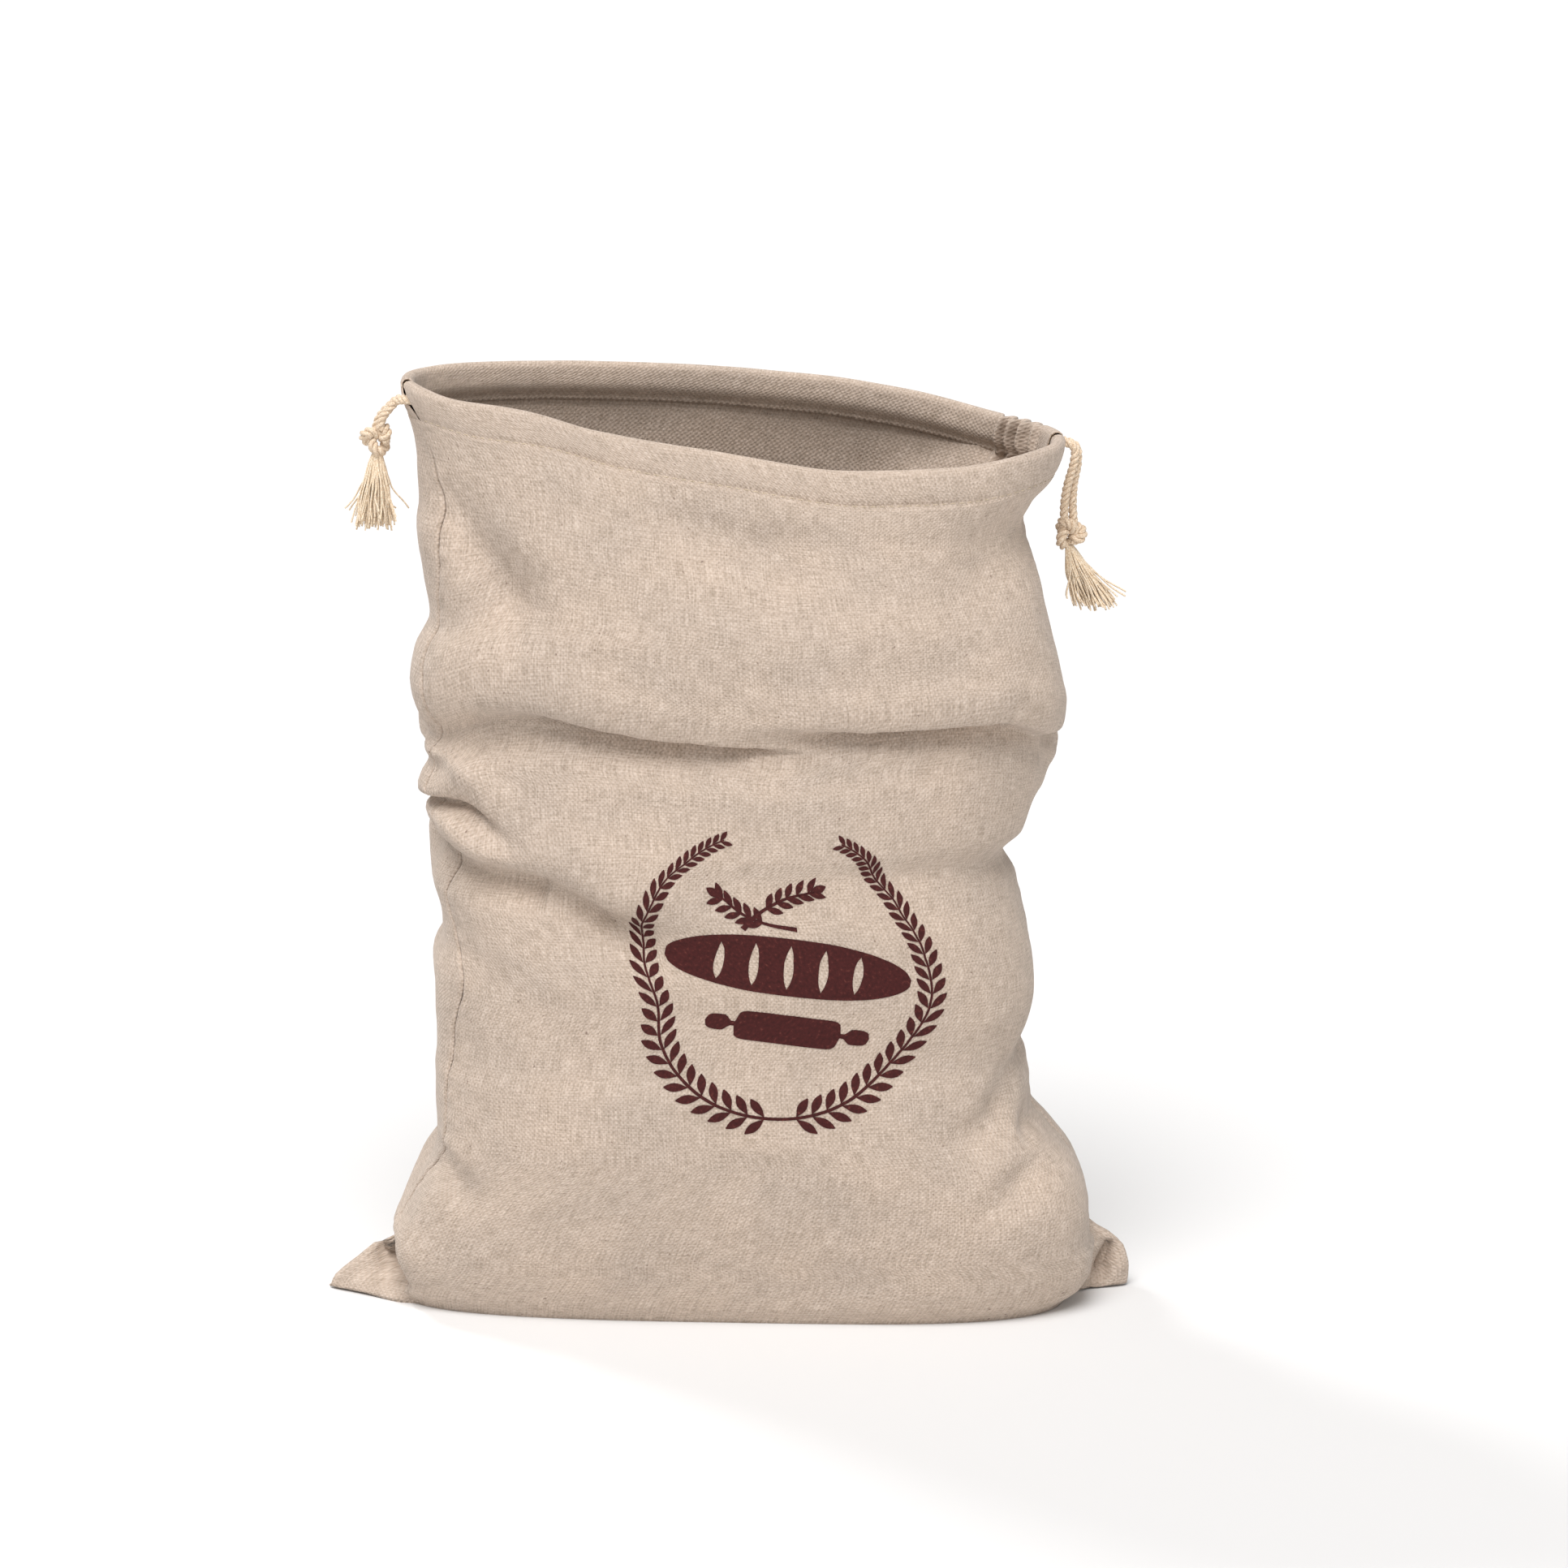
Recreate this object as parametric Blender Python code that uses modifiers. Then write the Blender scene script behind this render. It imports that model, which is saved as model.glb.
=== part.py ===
"""A linen drawstring bread bag, standing open and rounded out.

Two cloth panels meet at the side seams and the bottom seam. Each panel's top is turned in as a casing.
Two cords run round through both casings, and each leaves at its own side into a knot and a tassel.
Metres, +Z up, the front towards -Y. The bag rests on z = 0.
"""

import bpy
import numpy as np
from mathutils import Vector

MM = 0.001

# ---- driving dimensions (mm) ----
CLOTH = 1.0  # panel thickness
SEAM_GAP = 1.0  # between the two panels, along the cloth
CASING = 13.0  # height of the turned-in top
CHANNEL_SKIN = 6.4  # across the casing, outer skin to inner skin
OPENING = 11.0  # gap between the two casings' ends at each side
CORD = 3.5  # drawcord diameter
CORD_GAP = 0.35  # between the two cords in the casing
FOLD_LEVEL = 212.0  # above this the rows of cloth lean with the rim
RIM_LEVEL = 350.0  # nominal height of the rim row
PLAN_STEP = 0.5  # between the points of a plan before its columns are picked
FRONT, BACK = -1, 1

# Body outline: half plan shapes at each height. left and right are x, front and back are depths
# from the seam plane, square is the exponent of the rounded plan, and the ears are the bottom
# corners that stick out past the body.
SECTIONS = {
    "height": (0, 6, 22, 34, 50, 63, 74, 90, 101, 122, 134, 152, 165, 172, 179, 196),
    "left": (-124, -128, -129, -125, -119, -114, -111, -111, -110, -111, -112, -108, -111, -112, -113, -110),
    "right": (127, 132, 136, 135.5, 131, 122.5, 114.5, 113, 110.5, 114, 113, 109.5, 106.5, 102.5, 110, 115.5),
    "front": (43.5, 47, 51.5, 54.5, 57.5, 59.5, 61, 61, 60, 61, 62, 62, 61, 61, 62, 62),
    "back": (43, 48, 53, 56, 58, 59, 60, 60, 59, 60, 61, 60, 59, 58, 60, 61),
    "square": (3.3, 3.4, 3.5, 3.5, 3.4, 3.2, 3.0, 2.9, 2.8, 2.8, 2.8, 2.8, 2.8, 2.8, 2.8, 2.8),
}
UPPER_SECTIONS = {
    "height": (203, 210, 217, 229, 240, 252, 264, 280, 297, 308, 317, 330, 352),
    "left": (-115, -113.5, -116, -115.5, -116.5, -115, -110, -113, -115, -113.5, -114, -116, -121.5),
    "right": (118.5, 123, 123.5, 123.5, 122.5, 120, 117.5, 113.5, 110.5, 114.5, 120, 125, 125),
    "front": (61, 61, 62, 65, 66, 66, 65, 63, 60, 58, 57, 55, 53),
    "back": (61, 62, 63, 64, 65, 64, 63, 61, 59, 57, 56, 54, 52),
    "square": (2.8, 2.8, 2.8, 2.8, 2.7, 2.7, 2.7, 2.6, 2.6, 2.6, 2.6, 2.6, 2.6),
}
EARS = {
    "height": (0, 4, 9, 15, 20, 27, 34),
    "left": (-154.5, -153.5, -148, -141, -135, -129, -125),
    "right": (153.3, 153.8, 153.4, 152, 147, 136.5, 135.5),
    "puff": (3.0, 4.4, 5.4, 5.0, 4.0, 2.6, 1.6),
    "front_left": (20, 15, 8.5, 5.5, 4.0, 2.6, 1.6),
    "front_right": (10, 8, 6.5, 5.5, 4.0, 2.6, 1.6),
}
SEAMS = {
    "height": (0, 20, 34, 50, 66, 90, 112, 131, 148, 160, 174, 196, 212, 232, 262, 290, 330, 341, 352),
    "left": (0, -4, -8, -17, -29, -30, -33, -39, -32, -29, -33, -25, -24, -29, -27, -30, -22, -15, -12),
    "right": (3, 4, 5, 6, 7, 7.5, 8, 8, 8, 8, 8, 8, 8, 8, 7, 6.5, 4, 3, 2),
}
# Rim heights along each panel, by its share of the width from the left seam.
RIM = {
    "share": (0.0, 0.1, 0.2, 0.3, 0.44, 0.64, 0.75, 0.9, 1.0),
    "front": (352, 348.5, 346, 339, 332.5, 324.5, 324.5, 328.5, 329.5),
    "back": (352, 351.5, 351, 350, 348.5, 344, 339, 331, 329.5),
}
# Creases: start, middle and end on the panel's face (x, z), depth, and reach above and below.
CREASES = (
    ("front", "hip_left", (-118, 197), (-98, 201), (-80, 187), 4.5, 5.0, 8.0),
    ("front", "hip_long", (-116, 191), (-66, 172), (-15, 153), 8.0, 6.0, 13.0),
    ("front", "knee_right", (118, 101), (104, 81), (80, 66), 6.0, 8.0, 10.0),
    ("front", "foot_right", (140, 60), (112, 51), (94, 41), 6.0, 8.0, 10.0),
    ("front", "foot_left", (-116, 67), (-104, 55), (-92, 40), 4.0, 8.0, 10.0),
    ("front", "shoulder_left", (-98, 322), (-82, 296), (-60, 268), 4.0, 16.0, 16.0),
    ("back", "waist_back_left", (-120, 211), (-70, 222), (-10, 214), 5.0, 5.0, 14.0),
    ("back", "waist_back_right", (112, 172), (60, 186), (0, 176), 5.0, 5.0, 14.0),
    ("back", "knee_back_left", (-120, 66), (-95, 62), (-70, 50), 4.0, 9.0, 10.0),
)
# The fold across the front's waist, where the upper cloth sags over the lower: how far it lies above
# the fold level, and how deep it is, by share of the width.
WAIST = {
    "share": (0.0, 0.12, 0.25, 0.42, 0.5, 0.62, 0.75, 0.88, 1.0),
    "rise": (0, 14, 17, 13, 10, 15, 17, 13, 2),
    "depth": (3, 5, 7, 9, 9, 9, 8, 6, 3),
}
WAIST_FADE = (160.0, 350.0)  # levels between which the rows bend with the fold
SAG = 3.0  # how far the upper cloth hangs over the fold
# Pleats gathered into the back casing near the right seam: share of the width, and height.
PLEATS = {"share": (0.885, 0.92, 0.955), "proud": (2.6, 3.0, 2.2)}
PLEAT_HALF = 0.011
PLEAT_FADE = 60.0  # how far down the cloth the pleats die away

# Free ends: where each cord leaves, its knot and its tassel, as centre points (x, y, z).
LEFT_EXIT = ((-121.6, 344.7), (-125.2, 342.6), (-127.6, 339.4), (-128.4, 336.0))
LEFT_TURN = 25.0  # degrees that the pair of strands twists before the knot
LEFT_KNOT = (-129.0, -12.0, 330.0)
LEFT_TASSEL_FOOT = (-130.5, -12.5, 296.0)
RIGHT_EXIT = ((125.4, 326.1), (128.3, 323.8), (128.2, 318.0), (126.6, 311.0), (125.8, 304.0), (125.9, 298.0))
RIGHT_TURN = 75.0
RIGHT_KNOT = (126.3, 2.0, 292.0)
RIGHT_TASSEL_FOOT = (135.5, 2.5, 264.0)
KNOT_SIZE = (12.5, 11.0, 11.0)
TASSEL_NECK = 3.6  # radius under the knot
TASSEL_FOOT = 8.6  # radius at the frayed end

# Grid lines. Columns are shares of the panel's width, rows are heights on the wall.
SEAM_COLUMNS = (0.0, 0.007, 0.018, 0.034, 0.056)  # closer together beside each seam
FRONT_COLUMNS = 22
BACK_COLUMNS = 18
PLEAT_COLUMNS = (0.874, 0.885, 0.896, 0.909, 0.92, 0.931, 0.944, 0.955, 0.966, 0.982, 0.993, 1.0)
WALL_ROWS = (
    0, 5, 14, 26, 40, 56, 72, 90, 110, 132, 150, 162, 172, 182, 192, 201,
    207, 212, 217, 225, 240, 258, 278, 300, 320,
)

LINEN = ("linen", (0.604, 0.497, 0.402), 0.85)
COTTON = ("cotton", (0.768, 0.610, 0.456), 0.8)


# ---- small numeric helpers ----
def smooth_between(x, xs, ys):
    """A smooth curve through the table's points that never overshoots them."""
    xs, ys = np.asarray(xs, float), np.asarray(ys, float)
    step = np.diff(xs)
    slope = np.diff(ys) / step
    tangent = np.zeros(len(xs))
    for i in range(1, len(xs) - 1):
        if slope[i - 1] * slope[i] > 0:
            tangent[i] = 2 * slope[i - 1] * slope[i] / (slope[i - 1] + slope[i])
    x = np.clip(x, xs[0], xs[-1])
    i = np.clip(np.searchsorted(xs, x, side="right") - 1, 0, len(step) - 1)
    t = (x - xs[i]) / step[i]
    rise = ys[i] * (1 + 2 * t) * (1 - t) ** 2 + ys[i + 1] * t * t * (3 - 2 * t)
    lean = step[i] * (tangent[i] * t * (1 - t) ** 2 + tangent[i + 1] * t * t * (t - 1))
    return rise + lean


def outline(column, height):
    """One column of the section tables at a height."""
    heights = SECTIONS["height"] + UPPER_SECTIONS["height"]
    return float(smooth_between(height, heights, SECTIONS[column] + UPPER_SECTIONS[column]))


def along(points):
    """Distance along a run of points, from the first."""
    steps = np.linalg.norm(np.diff(points, axis=0), axis=1)
    return np.concatenate([[0.0], np.cumsum(steps)])


def resample(points, distances):
    reach = along(points)
    return np.stack([np.interp(distances, reach, points[:, k]) for k in range(points.shape[1])], axis=1)


def soften(points, spacing, spread):
    """A closed run of evenly spaced points, rounded over a distance."""
    half = int(3 * spread / spacing)
    offsets = np.arange(-half, half + 1) * spacing
    weights = np.exp(-0.5 * (offsets / spread) ** 2)
    weights /= weights.sum()
    wrapped = np.concatenate([points[-half:], points, points[:half]])
    return np.stack([np.convolve(wrapped[:, k], weights, "valid") for k in range(2)], axis=1)


# ---- the bag's plan at one level ----
def body_plan(height_left, height_right):
    """The rounded plan at a level that may lean from left to right, as a run from the left point
    through the front to the right point and back behind."""
    left, right = outline("left", height_left), outline("right", height_right)
    middle = (height_left + height_right) / 2
    square = outline("square", middle)
    angle = np.linspace(0, 2 * np.pi, 721)
    cosine, sine = -np.cos(angle), -np.sin(angle)
    across = np.sign(cosine) * np.abs(cosine) ** (2 / square)
    deep = np.sign(sine) * np.abs(sine) ** (2 / square)
    x = (left + right) / 2 + across * (right - left) / 2
    depth = np.where(deep < 0, outline("front", middle), outline("back", middle))
    lean = 0.16 * np.interp(middle, (0, 90), (1, 0))
    plan = np.stack([x, deep * depth * (1 + lean * across * (deep < 0))], axis=1)
    length = along(plan)[-1]
    return resample(plan, np.linspace(0, length, int(length / PLAN_STEP) + 1)[:-1])


def ear_spur(seam_point, tip_x, puff, front_puff, side):
    """The bottom corner at one side: out along one face to the tip, and back along the other."""
    reach = abs(tip_x - seam_point[0])
    share = np.array([0.0, 0.3, 0.6, 0.85, 1.0])
    x = seam_point[0] + (tip_x - seam_point[0]) * share
    half = puff * np.sqrt(1 - share**2) * min(1.0, reach / 4)
    wide = (front_puff - puff) * (1 - share) ** 1.2 * min(1.0, reach / 4)
    front = np.stack([x, seam_point[1] - half - wide], axis=1)
    back = np.stack([x, seam_point[1] + half], axis=1)
    first, second = (back, front) if side == "left" else (front, back)
    return np.concatenate([first, second[::-1][1:]])


def cut_at(points, x_sign, y_seam):
    """Where the plan crosses the seam's depth on one side."""
    side = x_sign * (points[:, 0] - points[:, 0].mean()) > 0
    distance = np.where(side, np.abs(points[:, 1] - y_seam), 1e9)
    return int(np.argmin(distance))


def level_runs(height_left, height_right):
    """The front run and the back run at a level, each from the left seam to the right seam."""
    plan = body_plan(height_left, height_right)
    seam_left = float(smooth_between(height_left, SEAMS["height"], SEAMS["left"]))
    seam_right = float(smooth_between(height_right, SEAMS["height"], SEAMS["right"]))
    at_left, at_right = cut_at(plan, -1, seam_left), cut_at(plan, 1, seam_right)
    plan = np.roll(plan, -at_left, axis=0)
    at_right = (at_right - at_left) % len(plan)
    plan[0, 1], plan[at_right, 1] = seam_left, seam_right
    front, back = plan[:at_right], plan[at_right:]
    spurs = []
    for side, height, point in (("left", height_left, plan[0]), ("right", height_right, plan[at_right])):
        if height >= EARS["height"][-1]:
            spurs.append(point[None, :])
            continue
        tip = float(smooth_between(height, EARS["height"], EARS[side]))
        puff = float(smooth_between(height, EARS["height"], EARS["puff"]))
        front_puff = float(smooth_between(height, EARS["height"], EARS["front_" + side]))
        spurs.append(ear_spur(point, tip, puff, front_puff, side))
        front = front[np.linalg.norm(front - point, axis=1) > max(3.5, front_puff)]
        back = back[np.linalg.norm(back - point, axis=1) > 3.5]
    half_left, half_right = len(spurs[0]) // 2, len(spurs[1]) // 2
    ring = np.concatenate([spurs[0][half_left:], front, spurs[1], back, spurs[0][: half_left + 1]])
    turn = len(spurs[0]) - half_left + len(front) + half_right
    reach = along(ring)
    count = int(reach[-1] / PLAN_STEP)
    even = resample(ring, np.linspace(0, reach[-1], count + 1)[:-1])
    turn_at = int(round(reach[turn] / reach[-1] * count))
    even = soften(even, PLAN_STEP, 2.0)
    return {FRONT: even[: turn_at + 1], BACK: np.concatenate([even[turn_at:], even[:1]])[::-1]}


def shares_of(run, shares, trim):
    """Points at the given shares of a run, once its two ends are trimmed."""
    reach = along(run)
    return resample(run, trim + (reach[-1] - 2 * trim) * np.asarray(shares))


# ---- creases and pleats ----
def crease_line(start, middle, end):
    t = np.linspace(0, 1, 41)[:, None]
    bend = 2 * np.array(middle) - 0.5 * (np.array(start) + np.array(end))
    return (1 - t) ** 2 * np.array(start) + 2 * t * (1 - t) * bend + t**2 * np.array(end)


def crease_depth(side, x, z):
    """How far the creases pull the cloth in at a point of the panel's face."""
    total = np.zeros_like(x)
    wanted = "front" if side == FRONT else "back"
    for panel, _, start, middle, end, depth, above, below in CREASES:
        if panel != wanted:
            continue
        line = crease_line(start, middle, end)
        away = np.hypot(x[:, None] - line[None, :, 0], z[:, None] - line[None, :, 1])
        nearest = np.argmin(away, axis=1)
        over = z - line[nearest, 1] > 0
        reach = np.where(over, above, below)
        share = nearest / (len(line) - 1)
        fade = np.clip((1 - share) / 0.35, 0, 1)
        total += depth * fade * np.exp(-((away[np.arange(len(x)), nearest] / reach) ** 2))
    return total


def pleat_height(shares, height):
    total = np.zeros(len(shares))
    for centre, proud in zip(PLEATS["share"], PLEATS["proud"]):
        total += proud * np.clip(1 - np.abs(np.asarray(shares) - centre) / PLEAT_HALF, 0, 1)
    return total * np.clip(1 - (RIM_LEVEL - height) / PLEAT_FADE, 0, 1)


# ---- rows and columns of the panel ----
def panel_columns():
    """Shares of the width at which each panel has a column."""
    beside = np.array(SEAM_COLUMNS)
    front = np.concatenate([beside, np.linspace(0.09, 0.91, FRONT_COLUMNS), 1 - beside[::-1]])
    back = np.concatenate([beside, np.linspace(0.09, 0.855, BACK_COLUMNS), PLEAT_COLUMNS])
    return front, back


def rim_height(side, shares):
    return smooth_between(np.asarray(shares), RIM["share"], RIM["front" if side == FRONT else "back"])


def row_heights(side, shares, level):
    """The real height of each point of a row, which leans more and more towards the rim."""
    rise = waist(side, "rise", shares)
    if level <= FOLD_LEVEL:
        return level + rise * np.clip((level - WAIST_FADE[0]) / (FOLD_LEVEL - WAIST_FADE[0]), 0, 1)
    climb = (level - FOLD_LEVEL) / (RIM_LEVEL - FOLD_LEVEL)
    folded = FOLD_LEVEL + rise
    return folded + climb * (rim_height(side, shares) - folded)


def waist(side, column, shares):
    if side == BACK:
        return np.zeros(len(shares))
    return smooth_between(shares, WAIST["share"], WAIST[column])


def waist_shape(side, shares, level):
    """The fold's pull inwards at a row, less the swell of the cloth above it, and that cloth's sag."""
    depth = waist(side, "depth", shares)
    reach = 9.0 if level < FOLD_LEVEL else 2.5
    pull = np.exp(-(((level - FOLD_LEVEL) / reach) ** 2))
    swell = 0.2 * np.exp(-(((level - FOLD_LEVEL - 8) / 6) ** 2))
    sag = SAG / 9 * np.exp(-(((level - FOLD_LEVEL - 5) / 4) ** 2))
    return depth * (pull - swell), depth * sag


def outwards(run, side):
    """The level normals along a run that goes from left to right, pointing out of the bag."""
    tangent = np.gradient(run, axis=0)
    tangent /= np.linalg.norm(tangent, axis=1)[:, None]
    return np.stack([tangent[:, 1], -tangent[:, 0]], axis=1) * -side


def wall_row(side, shares, level, trim):
    """One row of the outer skin, and its outward normals."""
    ends = row_heights(side, np.array([0.0, 1.0]), level)
    run = level_runs(float(ends[0]), float(ends[1]))[side]
    heights = row_heights(side, shares, level)
    placed = shares_of(run, shares, trim)
    normal = outwards(placed, side)
    fold, sag = waist_shape(side, shares, level)
    pull = crease_depth(side, placed[:, 0], heights) + fold
    edge = np.minimum(np.asarray(shares), 1 - np.asarray(shares))
    pull = pull * np.clip(edge / 0.03, 0, 1)
    heights = heights - sag * np.clip(edge / 0.03, 0, 1)
    push = pleat_height(shares, level) if side == BACK else 0.0
    placed = placed + normal * (push - pull)[:, None]
    return np.column_stack([placed, heights]), normal


def casing_rows(side, shares):
    """The turned-in top: over the rim, down inside, and back against the panel."""
    turn = CHANNEL_SKIN / 2
    profile = [(0.3, CASING - 1.5), (0.0, CASING * 0.6), (0.0, turn)]
    for step in (0.25, 0.5, 0.75):
        angle = np.pi * step
        profile.append((turn * (1 - np.cos(angle)), turn * (1 - np.sin(angle))))
    profile += [(2 * turn, turn), (2 * turn, 8.8), (2 * CLOTH + 0.5, CASING)]
    trim = OPENING / 2
    rim = rim_height(side, shares)
    rows = []
    for inward, down in profile:
        level = RIM_LEVEL - down * 0.9
        ends = row_heights(side, np.array([0.0, 1.0]), level)
        run = level_runs(float(ends[0]), float(ends[1]))[side]
        placed = shares_of(run, shares, trim)
        normal = outwards(placed, side)
        push = pleat_height(shares, RIM_LEVEL) if side == BACK else np.zeros(len(shares))
        sign = 1.0 if inward < turn else -1.0
        if abs(inward - turn) < 0.01:
            sign = 0.0
        placed = placed + normal * (sign * push - inward)[:, None]
        rows.append(np.column_stack([placed, rim - down]))
    return rows


def seam_trim(level):
    """Half the gap at the side seams, wider round the tips of the ears, where the cloth turns sharply."""
    return SEAM_GAP / 2 + np.interp(level, (0, EARS["height"][-2]), (0.9, 0.1))


def panel_rows(side, shares):
    """Every row of a panel's outer skin, from the bottom seam to the casing's hem."""
    foot, _ = wall_row(side, shares, 0.0, seam_trim(0))
    seam_y = np.interp(foot[:, 0], (-150, 150), (SEAMS["left"][0], SEAMS["right"][0]))
    rows = []
    for share in (0.0, 0.5):
        row = foot.copy()
        edge = seam_y + side * 0.15
        row[:, 1] = edge + (foot[:, 1] - edge) * share
        rows.append(row)
    rows.append(foot)
    for level in WALL_ROWS[1:]:
        rows.append(wall_row(side, shares, level, seam_trim(level))[0])
    return rows + casing_rows(side, shares)


# ---- objects ----
def clear_scene():
    for item in list(bpy.data.objects):
        bpy.data.objects.remove(item, do_unlink=True)


def collection(name):
    made = bpy.data.collections.new(name)
    bpy.context.scene.collection.children.link(made)
    return made


def material(name, colour, roughness):
    made = bpy.data.materials.new(name)
    made.use_nodes = True
    shader = made.node_tree.nodes["Principled BSDF"]
    shader.inputs["Base Color"].default_value = (*colour, 1)
    shader.inputs["Roughness"].default_value = roughness
    shader.inputs["Metallic"].default_value = 0.0
    return made


def make_panel(name, side, shares, into, finish):
    """A lofted skin through the rows, thickened inwards."""
    rows = np.array(panel_rows(side, shares)) * MM
    levels, columns = rows.shape[:2]
    faces = []
    for i in range(levels - 1):
        for j in range(columns - 1):
            corner = i * columns + j
            face = (corner, corner + 1, corner + columns + 1, corner + columns)
            faces.append(face if side == FRONT else face[::-1])
    mesh = bpy.data.meshes.new(name)
    mesh.from_pydata(rows.reshape(-1, 3).tolist(), [], faces)
    for polygon in mesh.polygons:
        polygon.use_smooth = True
    made = bpy.data.objects.new(name, mesh)
    made.data.materials.append(finish)
    thick = made.modifiers.new("thickness", "SOLIDIFY")
    thick.thickness = CLOTH * MM
    thick.offset = -1
    thick.use_even_offset = False
    into.objects.link(made)
    return made


def cord_levels(cord):
    """Height of a cord's middle under the rim: the left cord runs below the right one."""
    upper = CHANNEL_SKIN / 2
    return upper + (CORD + CORD_GAP if cord == "left" else 0.0)


def channel_run(side, shares, down):
    """The middle of the casing's channel along one panel, at a depth under the rim."""
    level = RIM_LEVEL - down * 0.9
    ends = row_heights(side, np.array([0.0, 1.0]), level)
    run = level_runs(float(ends[0]), float(ends[1]))[side]
    placed = shares_of(run, shares, OPENING / 2)
    placed = placed - outwards(placed, side) * CHANNEL_SKIN / 2
    return np.column_stack([placed, rim_height(side, shares) - down])


def cord_shares():
    """The panel columns that a cord has points at: all but the peaks of the pleats."""
    front, back = panel_columns()
    peaks = np.array(PLEATS["share"])
    off_peak = [share for share in back if np.abs(peaks - share).min() > 1e-6]
    return front, np.array(off_peak)


def tail(cord, mouth, heading, side):
    """One free end, straight out of the casing's mouth, then down to the top of its knot."""
    left = cord == "left"
    places, knot, twist = (LEFT_EXIT, LEFT_KNOT, LEFT_TURN) if left else (RIGHT_EXIT, RIGHT_KNOT, RIGHT_TURN)
    beside = (CORD + CORD_GAP + 0.1) / 2
    points = [mouth + heading * 2.4]
    for step, (x, z) in enumerate(places):
        turn = np.radians(twist) * step / (len(places) - 1)
        outward = -1.0 if left else 1.0
        points.append((x + side * outward * np.sin(turn) * beside, knot[1] + side * np.cos(turn) * beside, z))
    return np.array(points)


def make_cord(name, cord, into, finish):
    """A drawcord: from its knot, round through both casings, and back to the knot."""
    front_shares, back_shares = cord_shares()
    down = cord_levels(cord)
    front = channel_run(FRONT, front_shares, down)
    back = channel_run(BACK, back_shares, down)
    if cord == "right":
        front, back = front[::-1], back[::-1]
    leave_front, leave_back = front[0] - front[1], back[0] - back[1]
    leave_front /= np.linalg.norm(leave_front)
    leave_back /= np.linalg.norm(leave_back)
    first = tail(cord, front[0], leave_front, FRONT)
    last = tail(cord, back[0], leave_back, BACK)
    path = np.concatenate([first[::-1], front, back[::-1], last])
    curve = bpy.data.curves.new(name, "CURVE")
    curve.dimensions = "3D"
    spline = curve.splines.new("POLY")
    spline.points.add(len(path) - 1)
    for point, place in zip(spline.points, path * MM):
        point.co = (*place, 1)
    curve.bevel_depth = CORD / 2 * MM
    curve.bevel_resolution = 2
    curve.use_fill_caps = True
    spline.use_smooth = True
    curve.materials.append(finish)
    made = bpy.data.objects.new(name, curve)
    into.objects.link(made)
    return made


def make_knot(name, centre, into, finish):
    """An overhand knot drawn tight: a round lump with the turns of the cord as ridges."""
    bpy.ops.mesh.primitive_uv_sphere_add(segments=20, ring_count=10, radius=0.5)
    made = bpy.context.object
    made.name = name
    size = np.array(KNOT_SIZE)
    for vertex in made.data.vertices:
        x, y, z = vertex.co
        around = np.arctan2(y, x)
        ridge = 1 + 0.09 * np.cos(3 * around + 9 * z) * np.sqrt(max(0.0, 1 - 4 * z * z))
        place = np.array((x * ridge, y * ridge, z)) * size + centre
        vertex.co = Vector(place * MM)
    finish_lump(made, into, finish)
    return made


def make_tassel(name, knot, foot, into, finish):
    """The frayed end: a bundle that widens to its foot."""
    knot, foot = np.array(knot), np.array(foot)
    top = knot - (0, 0, KNOT_SIZE[2] / 2 + 0.4)
    axis = foot - top
    bpy.ops.mesh.primitive_uv_sphere_add(segments=18, ring_count=9, radius=0.5)
    made = bpy.context.object
    made.name = name
    for vertex in made.data.vertices:
        x, y, z = vertex.co
        around, down = np.arctan2(y, x), 0.5 - z
        bundle = TASSEL_NECK + (TASSEL_FOOT - TASSEL_NECK) * min(1.0, 1.2 * down)
        closed = min(1.0, 2.4 * np.sqrt(x * x + y * y)) ** 0.6
        radius = bundle * closed * (1 + 0.1 * np.cos(5 * around))
        place = top + axis * down + np.array((np.cos(around), 0.8 * np.sin(around), 0)) * radius
        vertex.co = Vector(place * MM)
    finish_lump(made, into, finish)
    return made


def finish_lump(made, into, finish):
    for polygon in made.data.polygons:
        polygon.use_smooth = True
    made.data.materials.append(finish)
    for owner in list(made.users_collection):
        owner.objects.unlink(made)
    into.objects.link(made)


def stand_on_origin(items):
    """Moves the whole bag so that its box is centred over the origin, with its base at z = 0."""
    bpy.context.view_layer.update()
    graph = bpy.context.evaluated_depsgraph_get()
    places = [vertex.co for item in items for vertex in item.evaluated_get(graph).to_mesh().vertices]
    low = Vector([min(place[axis] for place in places) for axis in range(3)])
    high = Vector([max(place[axis] for place in places) for axis in range(3)])
    for item in items:
        item.location = (-(low.x + high.x) / 2, -(low.y + high.y) / 2, -low.z)


def main():
    clear_scene()
    bag = collection("linen_bread_bag")
    linen, cotton = material(*LINEN), material(*COTTON)
    front_shares, back_shares = panel_columns()
    make_panel("front_panel", FRONT, front_shares, bag, linen)
    make_panel("back_panel", BACK, back_shares, bag, linen)
    make_cord("drawcord_left", "left", bag, cotton)
    make_cord("drawcord_right", "right", bag, cotton)
    make_knot("knot_left", LEFT_KNOT, bag, cotton)
    make_knot("knot_right", RIGHT_KNOT, bag, cotton)
    make_tassel("tassel_left", LEFT_KNOT, LEFT_TASSEL_FOOT, bag, cotton)
    make_tassel("tassel_right", RIGHT_KNOT, RIGHT_TASSEL_FOOT, bag, cotton)
    stand_on_origin(list(bag.objects))


main()
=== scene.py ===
"""The looks of a linen drawstring bread bag: cloth, casing, seams, print, cords, knots and tassels.

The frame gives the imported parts. The cloth is laid again on the same sections and folds, finer than
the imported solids, in millimetres, and each piece is turned to metres as its mesh is made.
"""

import math
from collections import namedtuple

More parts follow.
